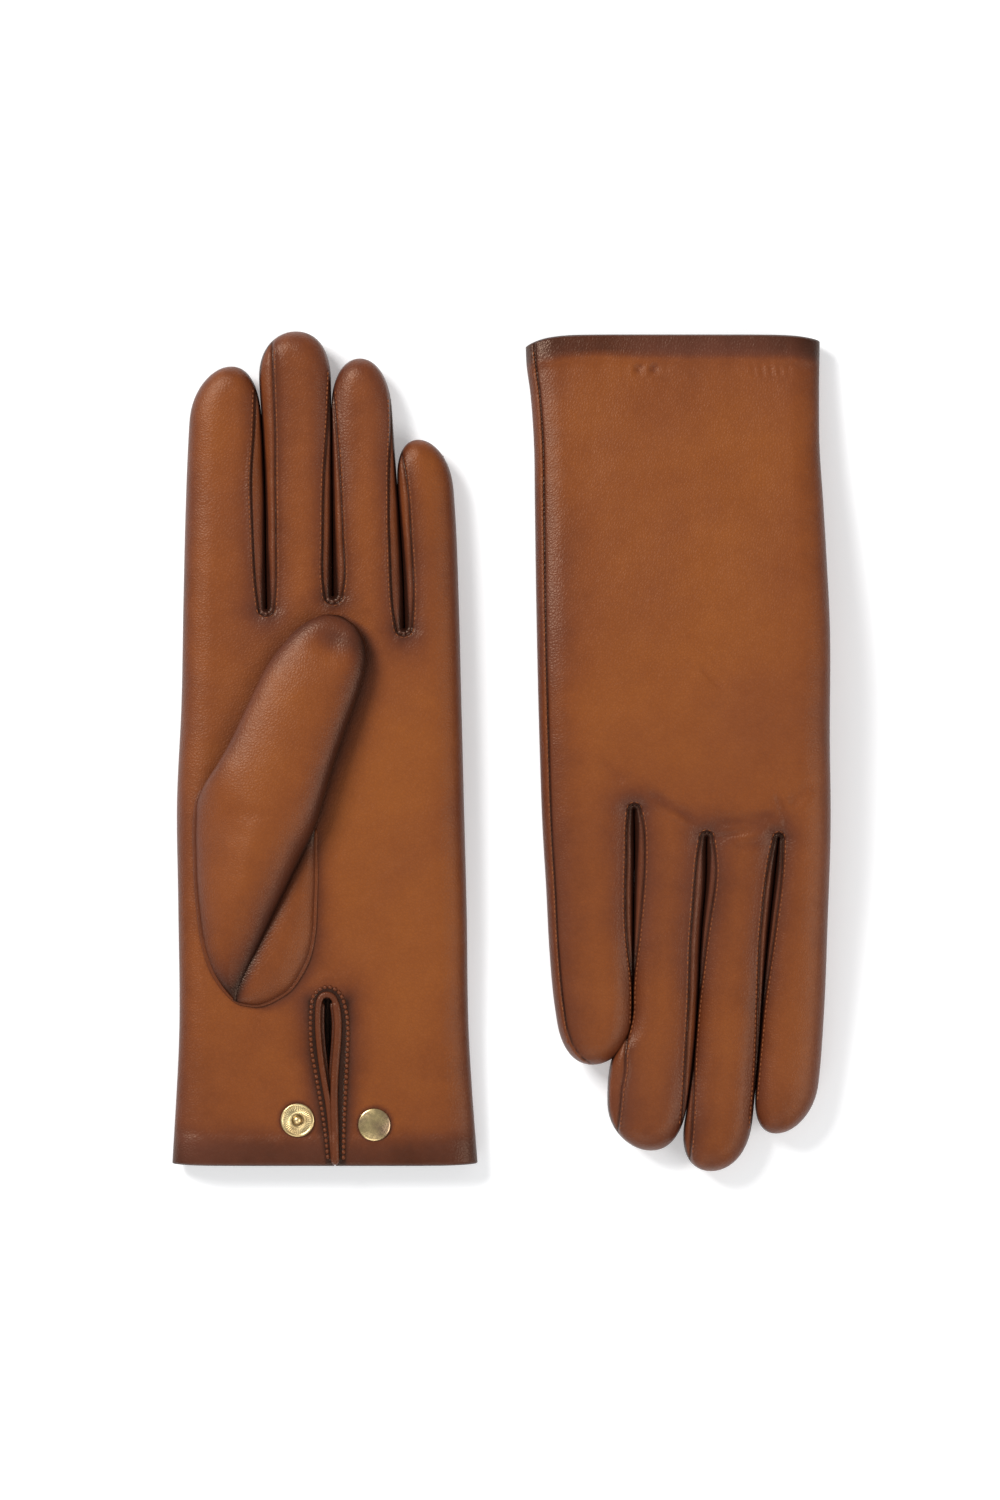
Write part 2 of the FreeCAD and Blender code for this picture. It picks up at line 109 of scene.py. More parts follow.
THUMB_SINK = 0.25       # how far it lies in the palm
BELLY_POWER = 2.4       # shape of its underside
FINGERS = ("index", "middle", "ring", "little")
LAPELS = ("stud", "cap")
SIDES = {"palm": 1, "back": -1}     # which way is out, along z
HAND_SKINS = ("palm_leather", "back_leather")
CLOSE_POINTS = 40       # a line of more points than this needs no smoothing
FAR = 99.0              # a distance at which no burnish is left
TIP_REACH = 16.0
ROOT_ROWS = 15
SECTION_STEPS = 96

# Column offsets from a silhouette and from a seam, and rows from the cuff and from the crotches.
EDGE_STEPS = (0, 0.12, 0.4, 0.85, 1.4, 2.0, 2.45, 2.75, 3.05, 3.5, 4.3, 5.6, 7.4)
SEAM_STEPS = (0, 0.25, 0.5, 0.8, 1.2, 1.8, 2.6, 3.8, 5.4)
CUFF_STEPS = (0, 0.15, 0.45, 0.9, 1.6, 2.8, 4.4, 6.0, 7.2, 7.9, 8.4, 8.8, 9.3, 10.0, 11.2, 12.8)
CROTCH_STEPS = (0, 0.25, 0.5, 0.8, 1.2, 1.8, 2.6, 3.8, 5.4, 7.4, 9.6)
ROW_PITCH = 1.25
COLUMN_PITCH = 1.25
HAND_TOP = 160.0        # nominal length of the hand's own leather
U_STEPS = 14            # steps round the bottom of a finger seam
WEB_STEPS = 9

# ---------------------------------------------------------------- the two gloves

# An edge is a list of (y, x). A gap's seam is two lists of (y, width): how far the sewn edge of the leather
# lies from the gap on the finger before it and on the finger after it. A level is (y, lowest z, highest z).
LEFT = {
    "name": "left",
    "edges": [
        [(0, -47.4), (20, -46.2), (38, -45.3), (81, -45.5), (112, -45.9), (143, -44.5), (174, -43.9),
         (200, -43.3), (215, -42.8), (231, -42.0), (247, -40.8)],
        [(171, -18.0), (190, -18.3), (211, -18.6), (225, -19.2), (240, -20.2), (250, -20.9)],
        [(174, 2.6), (200, 2.4), (230, 2.1), (245, 1.9), (257, 1.8)],
        [(164, 24.8), (180, 24.4), (199, 23.3), (212, 22.4), (220, 21.8), (235, 20.8), (247, 20.0)],
        [(0, 47.4), (20, 45.9), (38, 44.8), (81, 44.0), (112, 43.2), (143, 42.4), (174, 41.6), (200, 40.6),
         (215, 39.5), (226, 38.4)],
    ],
    "tips": [(-29.0, 247.7, 17.5), (-8.9, 258.6, 16.5), (10.9, 250.2, 16.5), (29.0, 225.0, 16.0)],
    "own_edges": {},
    "crotches": {"palm": (172.6, 176.6, 166.6), "back": (156.5, 156.1, 147.5)},
    "seams": [
        ([(150, 2.4), (172, 2.5), (177, 3.1), (195, 4.0), (213, 4.2), (228, 2.6), (239, 1.5)],
         [(150, 2.4), (172, 2.5), (177, 3.0), (195, 3.4), (213, 3.5), (228, 4.2), (240, 4.6)]),
        ([(150, 2.4), (176, 2.7), (181, 3.2), (195, 3.1), (213, 2.6), (232, 1.1), (242, 0.5)],
         [(150, 2.4), (176, 2.9), (181, 3.7), (195, 3.4), (213, 2.7), (232, 1.4), (242, 0.6)]),
        ([(146, 2.4), (166, 2.8), (171, 3.5), (193, 3.7), (212, 2.6), (232, 0.6), (240, 0.3)],
         [(146, 2.3), (166, 2.4), (171, 2.9), (193, 3.3), (212, 3.2), (222, 2.2)]),
    ],
    "knuckles": (174.0, 178.0, 178.0, 168.0),
    "levels": [(0, 0, 9.5), (56, 0, 12.3), (106, 0, 13.0), (180, 0, 13.0), (258, 0.2, 12.2)],
    "rolls": {"palm": 9.5, "back": 7.0},
    "thumb_levels": [(-54, 13.2, 13.9), (-48, 13.2, 15.6), (-40, 13.2, 17.8), (-28, 13.2, 20.8),
                     (-14, 13.2, 23.2), (0, 13.3, 24.4), (22, 13.4, 24.2), (45, 13.4, 23.0),
                     (57, 13.4, 21.8), (65, 13.8, 20.2), (69.4, 14.5, 18.8)],
    "shown": "palm",
}
RIGHT = {
    "name": "right",
    "edges": [
        [(0, -45.2), (18, -44.9), (36, -45.0), (52, -46.0), (70, -47.0), (90, -47.9), (126, -47.9),
         (154, -48.2), (182, -47.4), (210, -46.4), (228, -45.2), (247, -43.0)],
        [(155, -32.2), (169, -30.8), (183, -29.3), (196, -28.1), (207, -27.2), (219, -26.4), (233, -25.3),
         (245, -24.2)],
        [(154, -9.8), (169, -9.6), (185, -8.3), (207, -7.2), (219, -6.4), (231, -5.2), (242, -3.6),
         (252, -1.8)],
        [(146, 12.7), (160, 12.5), (175, 12.7), (189, 12.9), (203, 13.1), (212, 13.4), (217, 14.8),
         (221, 17.2), (225, 19.4), (230, 20.4), (240, 20.8), (252, 21.0)],
        [(0, 46.1), (6, 45.9), (18, 44.6), (36, 43.5), (52, 43.3), (88, 42.8), (126, 41.9), (154, 40.9),
         (172, 39.8), (191, 38.8), (205, 37.6), (215, 36.2), (226, 34.6)],
    ],
    "tips": [(-31.6, 248.3, 16.0), (-11.4, 260.0, 17.0), (7.2, 253.6, 16.0), (25.4, 226.9, 15.0)],
    "own_edges": {(3, "left"): [(146, 12.7), (160, 12.5), (175, 12.7), (189, 12.8), (203, 12.8), (215, 13.0),
                                (230, 13.4)]},
    "crotches": {"palm": (172.6, 176.6, 166.6), "back": (156.4, 156.3, 147.7)},
    "seams": [
        ([(156, 1.4), (161, 1.9), (185, 2.0), (208, 0.7), (226, 0.3), (245, 0.3)],
         [(156, 1.5), (161, 2.2), (185, 2.7), (208, 1.5), (226, 0.8), (245, 0.4)]),
        ([(156, 1.9), (161, 2.7), (185, 2.1), (198, 1.1), (207, 0.4), (226, 0.5), (240, 2.0), (251, 3.3)],
         [(156, 2.0), (161, 2.9), (185, 3.4), (207, 3.0), (226, 2.6), (240, 1.4), (247, 0.8)]),
        ([(147, 1.9), (152, 2.9), (162, 3.3), (185, 2.0), (203, 0.3), (212, 0.3), (217, 0.6), (221, 2.4),
          (226, 4.6), (236, 4.4), (246, 3.6)],
         [(147, 1.8), (152, 2.4), (162, 2.7), (185, 2.4), (203, 0.4), (215, 0.3)]),
    ],
    "knuckles": (176.0, 178.0, 178.0, 168.0),
    "levels": [(0, 1.0, 10.3), (56, -7.0, 5.0), (90, -11.0, 1.5), (140, -11.0, 1.5), (180, -8.0, 5.0),
               (245, -1.6, 10.8), (259, -0.8, 11.4)],
    "rolls": {"palm": 7.0, "back": 9.5},
    "thumb_levels": [(-54, 2.0, 7.0), (-48, 2.0, 8.4), (-40, 2.0, 9.3), (-28, 1.9, 10.2), (-14, 1.8, 11.0),
                     (0, 1.8, 11.4), (22, 2.0, 11.5), (45, 3.2, 11.4), (57, 4.3, 11.3), (65, 5.0, 10.8),
                     (69.4, 5.8, 10.0)],
    "shown": "back",
}

# The thumb's own frame, turned from the hand frame: s along it from its hinge, t across it.
THUMB_ORIGIN = (-21.1, 106.0)
THUMB_TURN = math.radians(69.0 - 90.0)
# (s, t) of the thumb piece's left side, of its right side or fold, and of its right seam
THUMB_EDGES = {
    "left": [(-53.7, 13.6), (-52.4, 10.6), (-49.3, 5.6), (-44.5, 0.8), (-39.2, -2.9), (-32.5, -6.5),
             (-24, -10.7), (-15.5, -14.3), (-6.8, -17.7), (0, -19.4), (5, -19.3), (12, -17.9),
             (18.5, -16.8), (34, -15.5), (48, -14.0), (55, -11.9), (61.5, -9.2), (66, -5.6), (68.4, -2.2),
             (69.3, 1.0)],
    "fold": [(-53.7, 14.2), (-51, 14.0), (-43, 14.2), (-35, 14.7), (-20, 15.7), (-10, 16.5), (0, 17.3),
             (7, 17.6), (15, 16.9), (31, 15.8), (45, 15.4), (53, 15.1), (57, 14.6), (61.5, 13.2), (66, 9.8),
             (68.4, 6.0), (69.3, 2.4)],
    "seam": [(-53.7, 15.6), (-53, 19.0), (-51, 22.6), (-48, 25.5), (-45, 27.7), (-39.5, 29.4), (-33, 30.0),
             (-25, 28.7), (-17, 26.1), (-8, 22.9), (0, 19.6), (5, 17.8)],
}


def through(points):
    """A smooth function through (place, value) points, straight past its ends."""
    at, value = np.array(points, float).T
    slope = np.gradient(value, at)

    def curve(x):
        x = np.asarray(x, float)
        n = np.clip(np.searchsorted(at, x) - 1, 0, len(at) - 2)
        h = at[n + 1] - at[n]
        t = np.clip((x - at[n]) / h, 0, 1)
        inside = ((2 * t**3 - 3 * t**2 + 1) * value[n] + (t**3 - 2 * t**2 + t) * h * slope[n]
                  + (3 * t**2 - 2 * t**3) * value[n + 1] + (t**3 - t**2) * h * slope[n + 1])
        return inside + np.maximum(x - at[-1], 0) * slope[-1] + np.minimum(x - at[0], 0) * slope[0]

    return curve


def ease(t):
    """Smooth step from 0 to 1."""
    t = np.clip(t, 0, 1)
    return t * t * (3 - 2 * t)


def roll(d, radius):
    """Height share of leather that turns over a rounded edge, d inside it."""
    t = np.clip(np.asarray(d, float) / radius, 0, 1)
    return np.sqrt(1 - (1 - t) ** 2)


def bump(d, width):
    """A soft bump, 1 at the middle."""
    return np.exp(-(d / width) ** 2)


def fading(d, reach):
    """1 up to a place, fading out past it."""
    return np.exp(-np.maximum(d, 0) / reach)


def ripples(x, y, size, seed):
    """Smooth noise between -1 and 1 over the plan, with features of that size."""
    flat = [noise.noise(Vector((a / size, b / size, seed))) for a, b in zip(np.ravel(x), np.ravel(y))]
    return np.array(flat).reshape(np.shape(x))


class Glove:
    """One glove's plan, heights and burnish."""

    def __init__(self, data):
        self.name = data["name"]
        self.data = data
        self.edges = [through(e) for e in data["edges"]]
        self.low = through([(y, a) for y, a, _ in data["levels"]])
        self.high = through([(y, b) for y, _, b in data["levels"]])
        self.thumb_low = through([(s, a) for s, a, _ in data["thumb_levels"]])
        self.thumb_high = through([(s, b) for s, _, b in data["thumb_levels"]])
        self.splits = [k - SPLIT_BEFORE for k in data["knuckles"]]
        self.seams = [[through(side) for side in gap] for gap in data["seams"]]
        self.sides = [[self.edges[f], self.edges[f + 1]] for f in range(4)]
        for (f, which), points in data["own_edges"].items():
            self.sides[f][("left", "right").index(which)] = through(points)

    def middle(self, y):
        """z halfway between the two sides' leather at y."""
        return (self.low(y) + self.high(y)) / 2

    def crotch(self, side, gap):
        return self.data["crotches"][side][gap]

    def seam_half(self, gap, turn, y):
        """Distance of a finger seam from its gap at y; turn is -1 on the gap's one side, 1 on its other."""
        before, after = (np.maximum(side(y), 0.2) for side in self.seams[gap])
        return (before + after) / 2 + (after - before) / 2 * turn

    def seam_inset(self, f, toward, y):
        """How far the sewn edge lies inside finger f's outline, on its side toward -1 or 1."""
        gap, side = (f - 1, 0) if toward < 0 else (f, 1)
        outline = self.finger_sides(f, y)[side]
        drawn_in = np.abs(outline - self.sides[f][side](y))
        left = self.seam_half(gap, -toward, y) - drawn_in
        return (left + np.sqrt(left**2 + 0.06)) / 2

    def finger_sides(self, f, y):
        """Left and right x of finger f at y, rounded towards its tip, and its share of full width."""
        left, right = self.sides[f][0](y), self.sides[f][1](y)
        tip_x, tip_y, length = self.data["tips"][f]
        along = np.clip((y - (tip_y - length)) / length, 0, 1)
        share = (1 - along**TIP_POWER) ** TIP_SHARE
        centre = (left + right) / 2
        centre = centre + (tip_x - (self.sides[f][0](tip_y) + self.sides[f][1](tip_y)) / 2) * along**2
        half = (right - left) / 2 * share
        return centre - half, centre + half, share

    def gap_distance(self, side, gap, x, y):
        """Distance to a gap or, past its end, to its crotch."""
        crotch = self.crotch(side, gap)
        past = np.maximum(crotch - y, 0) * PIT_SQUEEZE
        return np.hypot(x - self.edges[gap + 1](np.maximum(y, crotch)), past)

    def seam_distance(self, side, gap, x, y):
        """Distance outwards from the U of a finger seam, negative inside it."""
        crotch = self.crotch(side, gap)
        past = np.maximum(crotch - y, 0) / U_SQUASH
        across = x - self.edges[gap + 1](np.maximum(y, crotch))
        from_line = np.hypot(across, past)
        turn = across / np.maximum(from_line, 1e-6)
        d = from_line - self.seam_half(gap, turn, np.maximum(y, crotch))
        return d * np.where(past > 0, np.hypot(turn, U_SQUASH * np.sqrt(1 - np.minimum(turn**2, 1))), 1.0)

    def seam_distances(self, side, x, y):
        return [self.seam_distance(side, gap, x, y) for gap in range(3)]

    def surface(self, side, y, shares):
        """z of one side's leather at y for a height share."""
        rise = (self.high(y) - self.low(y)) / 2 * shares
        return self.middle(y) + SIDES[side] * np.maximum(rise, 0)

    def hand_share(self, side, x, y):
        """Height share over the hand, from its two sides and the crotches."""
        radius = self.data["rolls"][side]
        share = roll(x - self.edges[0](y), radius) * roll(self.edges[4](y) - x, radius)
        for gap in range(3):
            share = share * roll(self.gap_distance(side, gap, x, y), GAP_ROLL)
        return share

    def finger_share(self, side, f, x, y):
        """Height share over a finger, rounded towards its two sides and its tip."""
        left, right, narrowed = self.finger_sides(f, y)
        radius = self.data["rolls"][side]
        from_left = (x - left) / (radius if f == 0 else GAP_ROLL)
        from_right = (right - x) / (radius if f == 3 else GAP_ROLL)
        plain = roll(from_left, 1.0) * roll(from_right, 1.0)
        half = (right - left) / 2 / np.maximum(narrowed, 1e-6)
        off_centre = np.clip(np.abs(x - (left + right) / 2) / np.maximum(half, 1e-6), 0, 1)
        _, tip_y, length = self.data["tips"][f]
        outline_y = tip_y - length * (1 - (1 - off_centre ** (1 / TIP_SHARE)) ** (1 / TIP_POWER))
        from_tip = (outline_y - y) / TIP_ROLL
        nearness = sum(np.maximum(d, 1e-4) ** -4.0 for d in (from_left, from_right, from_tip))
        weight = ease((y - self.splits[f]) / TIP_FADE)
        return plain + (roll(nearness**-0.25, 1.0) - plain) * weight


GLOVES = [Glove(LEFT), Glove(RIGHT)]


def place(glove, p):
    """From a glove's hand frame in millimetres into the row frame in metres, with the cuff's edge bowed."""
    p = np.array(p, float)
    fade = np.clip(1 - p[..., 1] / BOW_FADE, 0, 1) ** 2
    whole, low, high = CUFF_BOW[glove.name]
    corner = np.where(p[..., 0] < 0, low, high) * np.abs(p[..., 0] / CORNER_X) ** 8
    p[..., 1] = p[..., 1] + fade * (whole + corner)
    if glove.name == "left":
        return (p + np.array(LEFT_ORIGIN)) / 1000
    return (np.array(RIGHT_ORIGIN) - p) / 1000


# ---------------------------------------------------------------- relief, burnish and painted shade of the leather

CREASES = {             # (x0, y0, x1, y1, depth, half-width) on the side that each glove shows
    "left": [(-4.5, 60.5, 7.5, 61.5, 0.10, 1.6), (-8, 176, -3, 169, 0.12, 1.2),
             (13, 172, 18, 166, 0.12, 1.2)],
    "right": [(7.4, 142.9, -5.9, 150.7, 0.75, 1.2), (-12.7, 152.2, -31.0, 149.6, 0.6, 1.3),
              (-18.9, 159.3, -27.5, 157.8, 0.35, 1.3), (-8.1, 104.2, -14.3, 110.4, 0.3, 0.8),
              (16.0, 139.0, 22.0, 133.0, 0.35, 1.5), (-36.0, 146.0, -42.0, 140.0, 0.35, 1.5),
              (-14.0, 156.5, -27.0, 152.5, 0.4, 1.4), (-35.0, 153.0, -31.5, 143.5, 0.45, 1.2)],
}
TACKS = [(11.2, 10.6), (6.5, 10.6)]     # the two bar tacks at the right glove's hem
PLEAT_PITCH = 2.8
SNAPS = [(-8.4, 14.0), (15.4, 12.6)]    # middles of the press stud's stud and cap
SNAP_EDGE = 5.0
RUB_AND_SHADE = {              # (darkness, reach) of the darkening round each place: burnish, with painted shade at the crotches and a painted shadow ring round the snaps
    "edge": [(0.42, 1.8), (0.20, 7.0)],
    "seam": [(0.38, 2.6), (0.20, 9.0)],
    # painted shade in the dip below each crotch, over the burnish round its seam
    "crotch": [(0.50, 2.6), (0.30, 8.0)],
    "tip": [(0.42, 7.0)],
    "cuff": [(0.24, 13.0)],
    "side_seam": [(0.44, 7.0)],
    "vent": [(0.66, 2.2), (0.34, 8.0)],
    # a painted shadow ring round each snap's face
    "snap": [(0.62, 0.9), (0.16, 4.0)],
    "thumb_left": [(0.40, 2.6), (0.14, 9.0)],
}
SIDE_SEAM = 2.8         # distance of the side seam's groove from the outline
# Depth, soft edge and darkness of the dark band at the cuff.
HEM_BURNISH = {"left": (9.0, 9.0, 0.40), "right": (6.4, 3.6, 0.46)}
VENT_END = 51.0
VENT_MIDDLE = [(0, 3.6), (14, 2.9), (30, 1.9), (52, 1.3)]       # (y, x) of the dark area round the vent
VENT_HALF = [(0, 2.4), (14, 3.3), (30, 4.9), (46, 5.6)]         # (y, half-width) of it


def rub_and_shade(place, d):
    """Darkness at a distance from a place: its burnish and, at the crotches and snaps, painted shade."""
    return sum(dark * fading(d, reach) for dark, reach in RUB_AND_SHADE[place])


def tack_distance(x, y, tack, beside=0.0):
    """Distance from a slanting bar tack, or from a place beside it."""
    dy = y - tack[1]
    return np.hypot(x - tack[0] - beside - 0.5 * dy, dy * 0.8)


def vent_distance(x, y):
    """Distance outwards from the vent and its stitching."""
    middle, half = (np.interp(y, *zip(*points)) for points in (VENT_MIDDLE, VENT_HALF))
    return np.hypot(np.maximum(np.abs(x - middle) - half, 0), np.maximum(y - VENT_END, 0))


def crease_place(x, y, crease):
    """How far along a crease a point lies inside it, from 0 to 1, and its distance across, in half-widths."""
    x0, y0, x1, y1, _, width = crease
    along = ((x - x0) * (x1 - x0) + (y - y0) * (y1 - y0)) / ((x1 - x0) ** 2 + (y1 - y0) ** 2)
    inside = ease((along + 0.15) / 0.3) * ease((1.15 - along) / 0.3)
    across = ((x - x0) * (y1 - y0) - (y - y0) * (x1 - x0)) / math.hypot(x1 - x0, y1 - y0)
    return inside, across / width


def relief(glove, side, x, y, share, seam_d):
    """What the leather adds to its plain height: waves, creases, sewn edges and the hem."""
    shown = side == glove.data["shown"]
    waves = 0.30 * ripples(x, y, 36.0, 3.0 + shown) + 0.10 * ripples(x, y, 10.0, 7.0)
    if side == "palm":
        for sx, sy in SNAPS:
            waves = waves * ease((np.hypot(x - sx, y - sy) - 5.5) / 8)
    out = waves * share
    for d in seam_d:
        out = out + np.where(d > -0.05, LIP * bump(d - 0.65, LIP_WIDTH) - 0.12 * bump(d - 2.6, 1.4), 0)
    if shown:
        for crease in CREASES[glove.name]:
            inside, across = crease_place(x, y, crease)
            out = out + 1.2 * crease[4] * inside * (0.45 * bump(across - 1.7, 1.1) - bump(across, 1.0))
    out = out + HEM_STEP * ease((HEM_DEPTH + 1.6 - y) / 3.4) * share
    out = out - 0.12 * bump(y - HEM_DEPTH - 2.0, 1.3) * share
    out = out + 0.16 * ripples(x, y * 0.5, 5.0, 9.0) * bump(y - HEM_DEPTH - 1.0, 2.2)
    out = out - 0.6 * (1 - roll(y, 0.8))
    if side == "back" and glove.name == "right":
        for tack in TACKS:
            out = out - 0.85 * bump(tack_distance(x, y, tack), 1.1)
            out = out + 0.30 * bump(tack_distance(x, y, tack, 1.9), 1.1)
        pleated = ease((x + 44) / 6) * ease((-20 - x) / 8)
        out = out + 0.22 * pleated * np.cos(2 * math.pi * (x + 0.3 * y) / PLEAT_PITCH) * bump(y - 10.8, 1.3)
    if side == "back":
        d = side_seam_distance(glove, x, y)
        out = out + 0.45 * bump(d - 1.9, 0.7) - 0.65 * bump(d - SIDE_SEAM, 0.28) + 0.12 * bump(d - 3.6, 0.7)
    return out


def side_seam_distance(glove, x, y):
    """Distance inwards from the little-finger side's outline."""
    hand = glove.edges[4](y) - x
    _, right, _ = glove.finger_sides(3, y)
    finger = right - x
    return np.where(np.asarray(y) > glove.splits[3], finger, hand)


def gathers(glove, side, x, y):
    """Small pleats that fan out from the bottom of each finger seam."""
    out = 0
    for gap in range(3):
        crotch = glove.crotch(side, gap)
        dx = x - glove.edges[gap + 1](crotch)
        dy = crotch - y
        angle = np.arctan2(dx, np.maximum(dy, 1e-3))
        d = np.maximum(glove.seam_distance(side, gap, x, y), 0)
        reach = ease((dy + 1.0) / 3.0)
        out = out + 0.09 * np.cos(5 * angle + gap) * np.exp(-d / 3.6) * reach * ease(d / 0.8)
    return out


def burnish(glove, side, x, y, seam_d, edge_d, tip_d):
    """How dark the leather is, from 0 to 1: rubbed along its edges, seams, tips, cuff, side seam and vent,
    with painted shade in the crotches, creases and tack dents, and painted shadow round the snaps and beside
    the thumb.
    """
    dark = rub_and_shade("edge", edge_d)
    for d in seam_d:
        dark = np.maximum(dark, 0.70 * bump(np.maximum(d, 0), 0.28))
        dark = np.maximum(dark, rub_and_shade("seam", d))
    # Painted shade in the dip below each crotch, over the burnish round its seam.
    for gap, d in enumerate(glove.seam_distances(side, x, y)):
        pit = ease((glove.crotch(side, gap) + 14 - y) / 16)
        dark = np.maximum(dark, rub_and_shade("crotch", d) * pit)
    dark = np.maximum(dark, rub_and_shade("tip", tip_d))
    if side == glove.data["shown"]:
        # Painted shade along the valley of each crease.
        for crease in CREASES[glove.name]:
            inside_it, across = crease_place(x, y, crease)
            dark = dark + 0.24 * crease[4] * inside_it * bump(across, 1.2)
    depth, soft, strength = HEM_BURNISH[glove.name]
    depth = depth + 1.3 * ripples(x, 0 * x, 17.0, 6.0)
    hem_dark = strength * ease((depth + soft / 2 - y) / soft) + rub_and_shade("cuff", y)
    dark = dark + (1 - dark) * hem_dark
    if glove.name == "left":
        dark = dark + 0.11 * (1 - dark) * ease((75 - y) / 50)
    if side == "back":
        d = side_seam_distance(glove, x, y)
        dark = np.maximum(dark, 0.92 * bump(d - 2.9, 0.42))
        dark = np.maximum(dark, rub_and_shade("side_seam", d - SIDE_SEAM) * (d > SIDE_SEAM))
        if glove.name == "right":
            # Painted shade in the dent of each bar tack.
            for tack in TACKS:
                dark = dark + 0.30 * bump(tack_distance(x, y, tack), 0.9)
    if side == "palm":
        dark = np.maximum(dark, rub_and_shade("vent", vent_distance(x, y)))
        # A painted shadow ring round each snap's face.
        for sx, sy in SNAPS:
            dark = np.maximum(dark, rub_and_shade("snap", np.hypot(x - sx, y - sy) - SNAP_EDGE))
        dark = np.maximum(dark, thumb_shade(x, y))
    return np.clip(dark, 0, 1)


THUMB_CURVES = {name: through(points) for name, points in THUMB_EDGES.items()}


def to_thumb(x, y):
    """Hand frame to the thumb's own s and t."""
    dx, dy = x - THUMB_ORIGIN[0], y - THUMB_ORIGIN[1]
    c, n = math.cos(THUMB_TURN), math.sin(THUMB_TURN)
    return -dx * n + dy * c, dx * c + dy * n


def from_thumb(s, t):
    """The thumb's own s and t to the hand frame."""
    c, n = math.cos(THUMB_TURN), math.sin(THUMB_TURN)
    return THUMB_ORIGIN[0] + t * c - s * n, THUMB_ORIGIN[1] + t * n + s * c


def thumb_shade(x, y):
    """Painted shadow on the palm beside the thumb: strong beside its overhanging right side, weaker beside
    its left side.
    """
    s, t = to_thumb(x, y)
    right = t - np.where(s > 5, THUMB_CURVES["fold"](s), THUMB_CURVES["seam"](s))
    left = THUMB_CURVES["left"](s) - t
    d = np.maximum(np.maximum(right, left), np.maximum(s - 68, -52 - s))
    strength = np.where(right > left, 0.74, 0.24)
    reach = np.where(right > left, 3.6, 3.0)
    return strength * fading(d, reach)


# ---------------------------------------------------------------- meshes

class Skin:
    """Patches of leather that are welded and then cut into named pieces."""

    def __init__(self, glove):
        self.glove = glove
        self.points, self.dark, self.faces, self.tags = [], [], [], []
        self.names = []

    def tag(self, name):
        if name not in self.names:
            self.names.append(name)
        return self.names.index(name)

    def patch(self, x, y, z, dark, name, flip=False):
        """A grid of quads through 2-D arrays of coordinates."""
        rows, cols = x.shape
        start = sum(len(p) for p in self.points)
        self.points.append(np.stack([x, y, z], -1).reshape(-1, 3))
        self.dark.append(np.broadcast_to(dark, x.shape).ravel())
        index = start + np.arange(rows * cols).reshape(rows, cols)
        a, b, c, d = index[:-1, :-1], index[:-1, 1:], index[1:, 1:], index[1:, :-1]
        quads = np.stack([a, d, c, b] if flip else [a, b, c, d], -1).reshape(-1, 4)
        self.faces.append(quads)
        self.tags.append(np.full(len(quads), self.tag(name)))

    def mesh(self):
        """One welded bmesh with a piece layer on its faces and a layer of burnish and painted shade on its
        vertices.
        """
        points, dark = np.concatenate(self.points), np.concatenate(self.dark)
        bm = bmesh.new()
        wear_and_shade_layer = bm.verts.layers.float.new("burnish")
        piece_layer = bm.faces.layers.int.new("piece")
        verts = [bm.verts.new(p) for p in points]
        for v, d in zip(verts, dark):
            v[wear_and_shade_layer] = float(d)
        for quads, tags in zip(self.faces, self.tags):
            for quad, t in zip(quads, tags):
                face = bm.faces.new([verts[i] for i in quad])
                face[piece_layer] = int(t)
                face.smooth = True
        bmesh.ops.remove_doubles(bm, verts=bm.verts, dist=0.004)
        bmesh.ops.dissolve_degenerate(bm, edges=bm.edges, dist=0.0005)
        return bm


def with_inner_layer(verts, normals, dark, polygons, thickness):
    """A sheet with a second layer below it, joined round its border."""
    n = len(verts)
    edges = {}
    for p in polygons:
        for a, b in zip(p, p[1:] + p[:1]):
            edges[a, b] = True
    border = [(a, b) for a, b in edges if (b, a) not in edges]
    below = [tuple(np.array(v) - thickness * np.array(m)) for v, m in zip(verts, normals)]
    inner = [tuple(n + i for i in p[::-1]) for p in polygons]
    rim = sorted({i for edge in border for i in edge})
    top = {i: 2 * n + k for k, i in enumerate(rim)}
    low = {i: 2 * n + len(rim) + k for k, i in enumerate(rim)}
    sides = [(top[b], top[a], low[a], low[b]) for a, b in border]
    outward = {i: np.zeros(3) for i in rim}
    for a, b in border:
        across = np.cross(np.array(verts[b]) - np.array(verts[a]), np.array(normals[a]))
        for i in (a, b):
            outward[i] += across / max(np.linalg.norm(across), 1e-9)
    rim_normals = [tuple(outward[i] / max(np.linalg.norm(outward[i]), 1e-9)) for i in rim]
    verts = verts + below + [verts[i] for i in rim] + [below[i] for i in rim]
    normals = normals + [tuple(-c for c in m) for m in normals] + rim_normals * 2
    dark = dark + [0.6] * n + [0.8] * (2 * len(rim))
    return verts, normals, dark, polygons + inner + sides


def piece_from(bm, glove, name, faces, material, thickness=0.0):
    """A piece made of some of a welded skin's faces, shaded as if it were still whole."""
    wear_and_shade_layer = bm.verts.layers.float.get("burnish")
    number, verts, normals, dark, polygons = {}, [], [], [], []
    for face in faces:
        polygon = []
        for v in face.verts:
            if v.index not in number:
                number[v.index] = len(verts)
                verts.append(v.co[:])
                normals.append(v.normal[:])
                dark.append(v[wear_and_shade_layer] if wear_and_shade_layer else 0.5)
            polygon.append(number[v.index])
        polygons.append(polygon)
    if thickness:
        verts, normals, dark, polygons = with_inner_layer(verts, normals, dark, polygons, thickness)
    return new_piece(glove, name, verts, polygons, dark, material, normals)


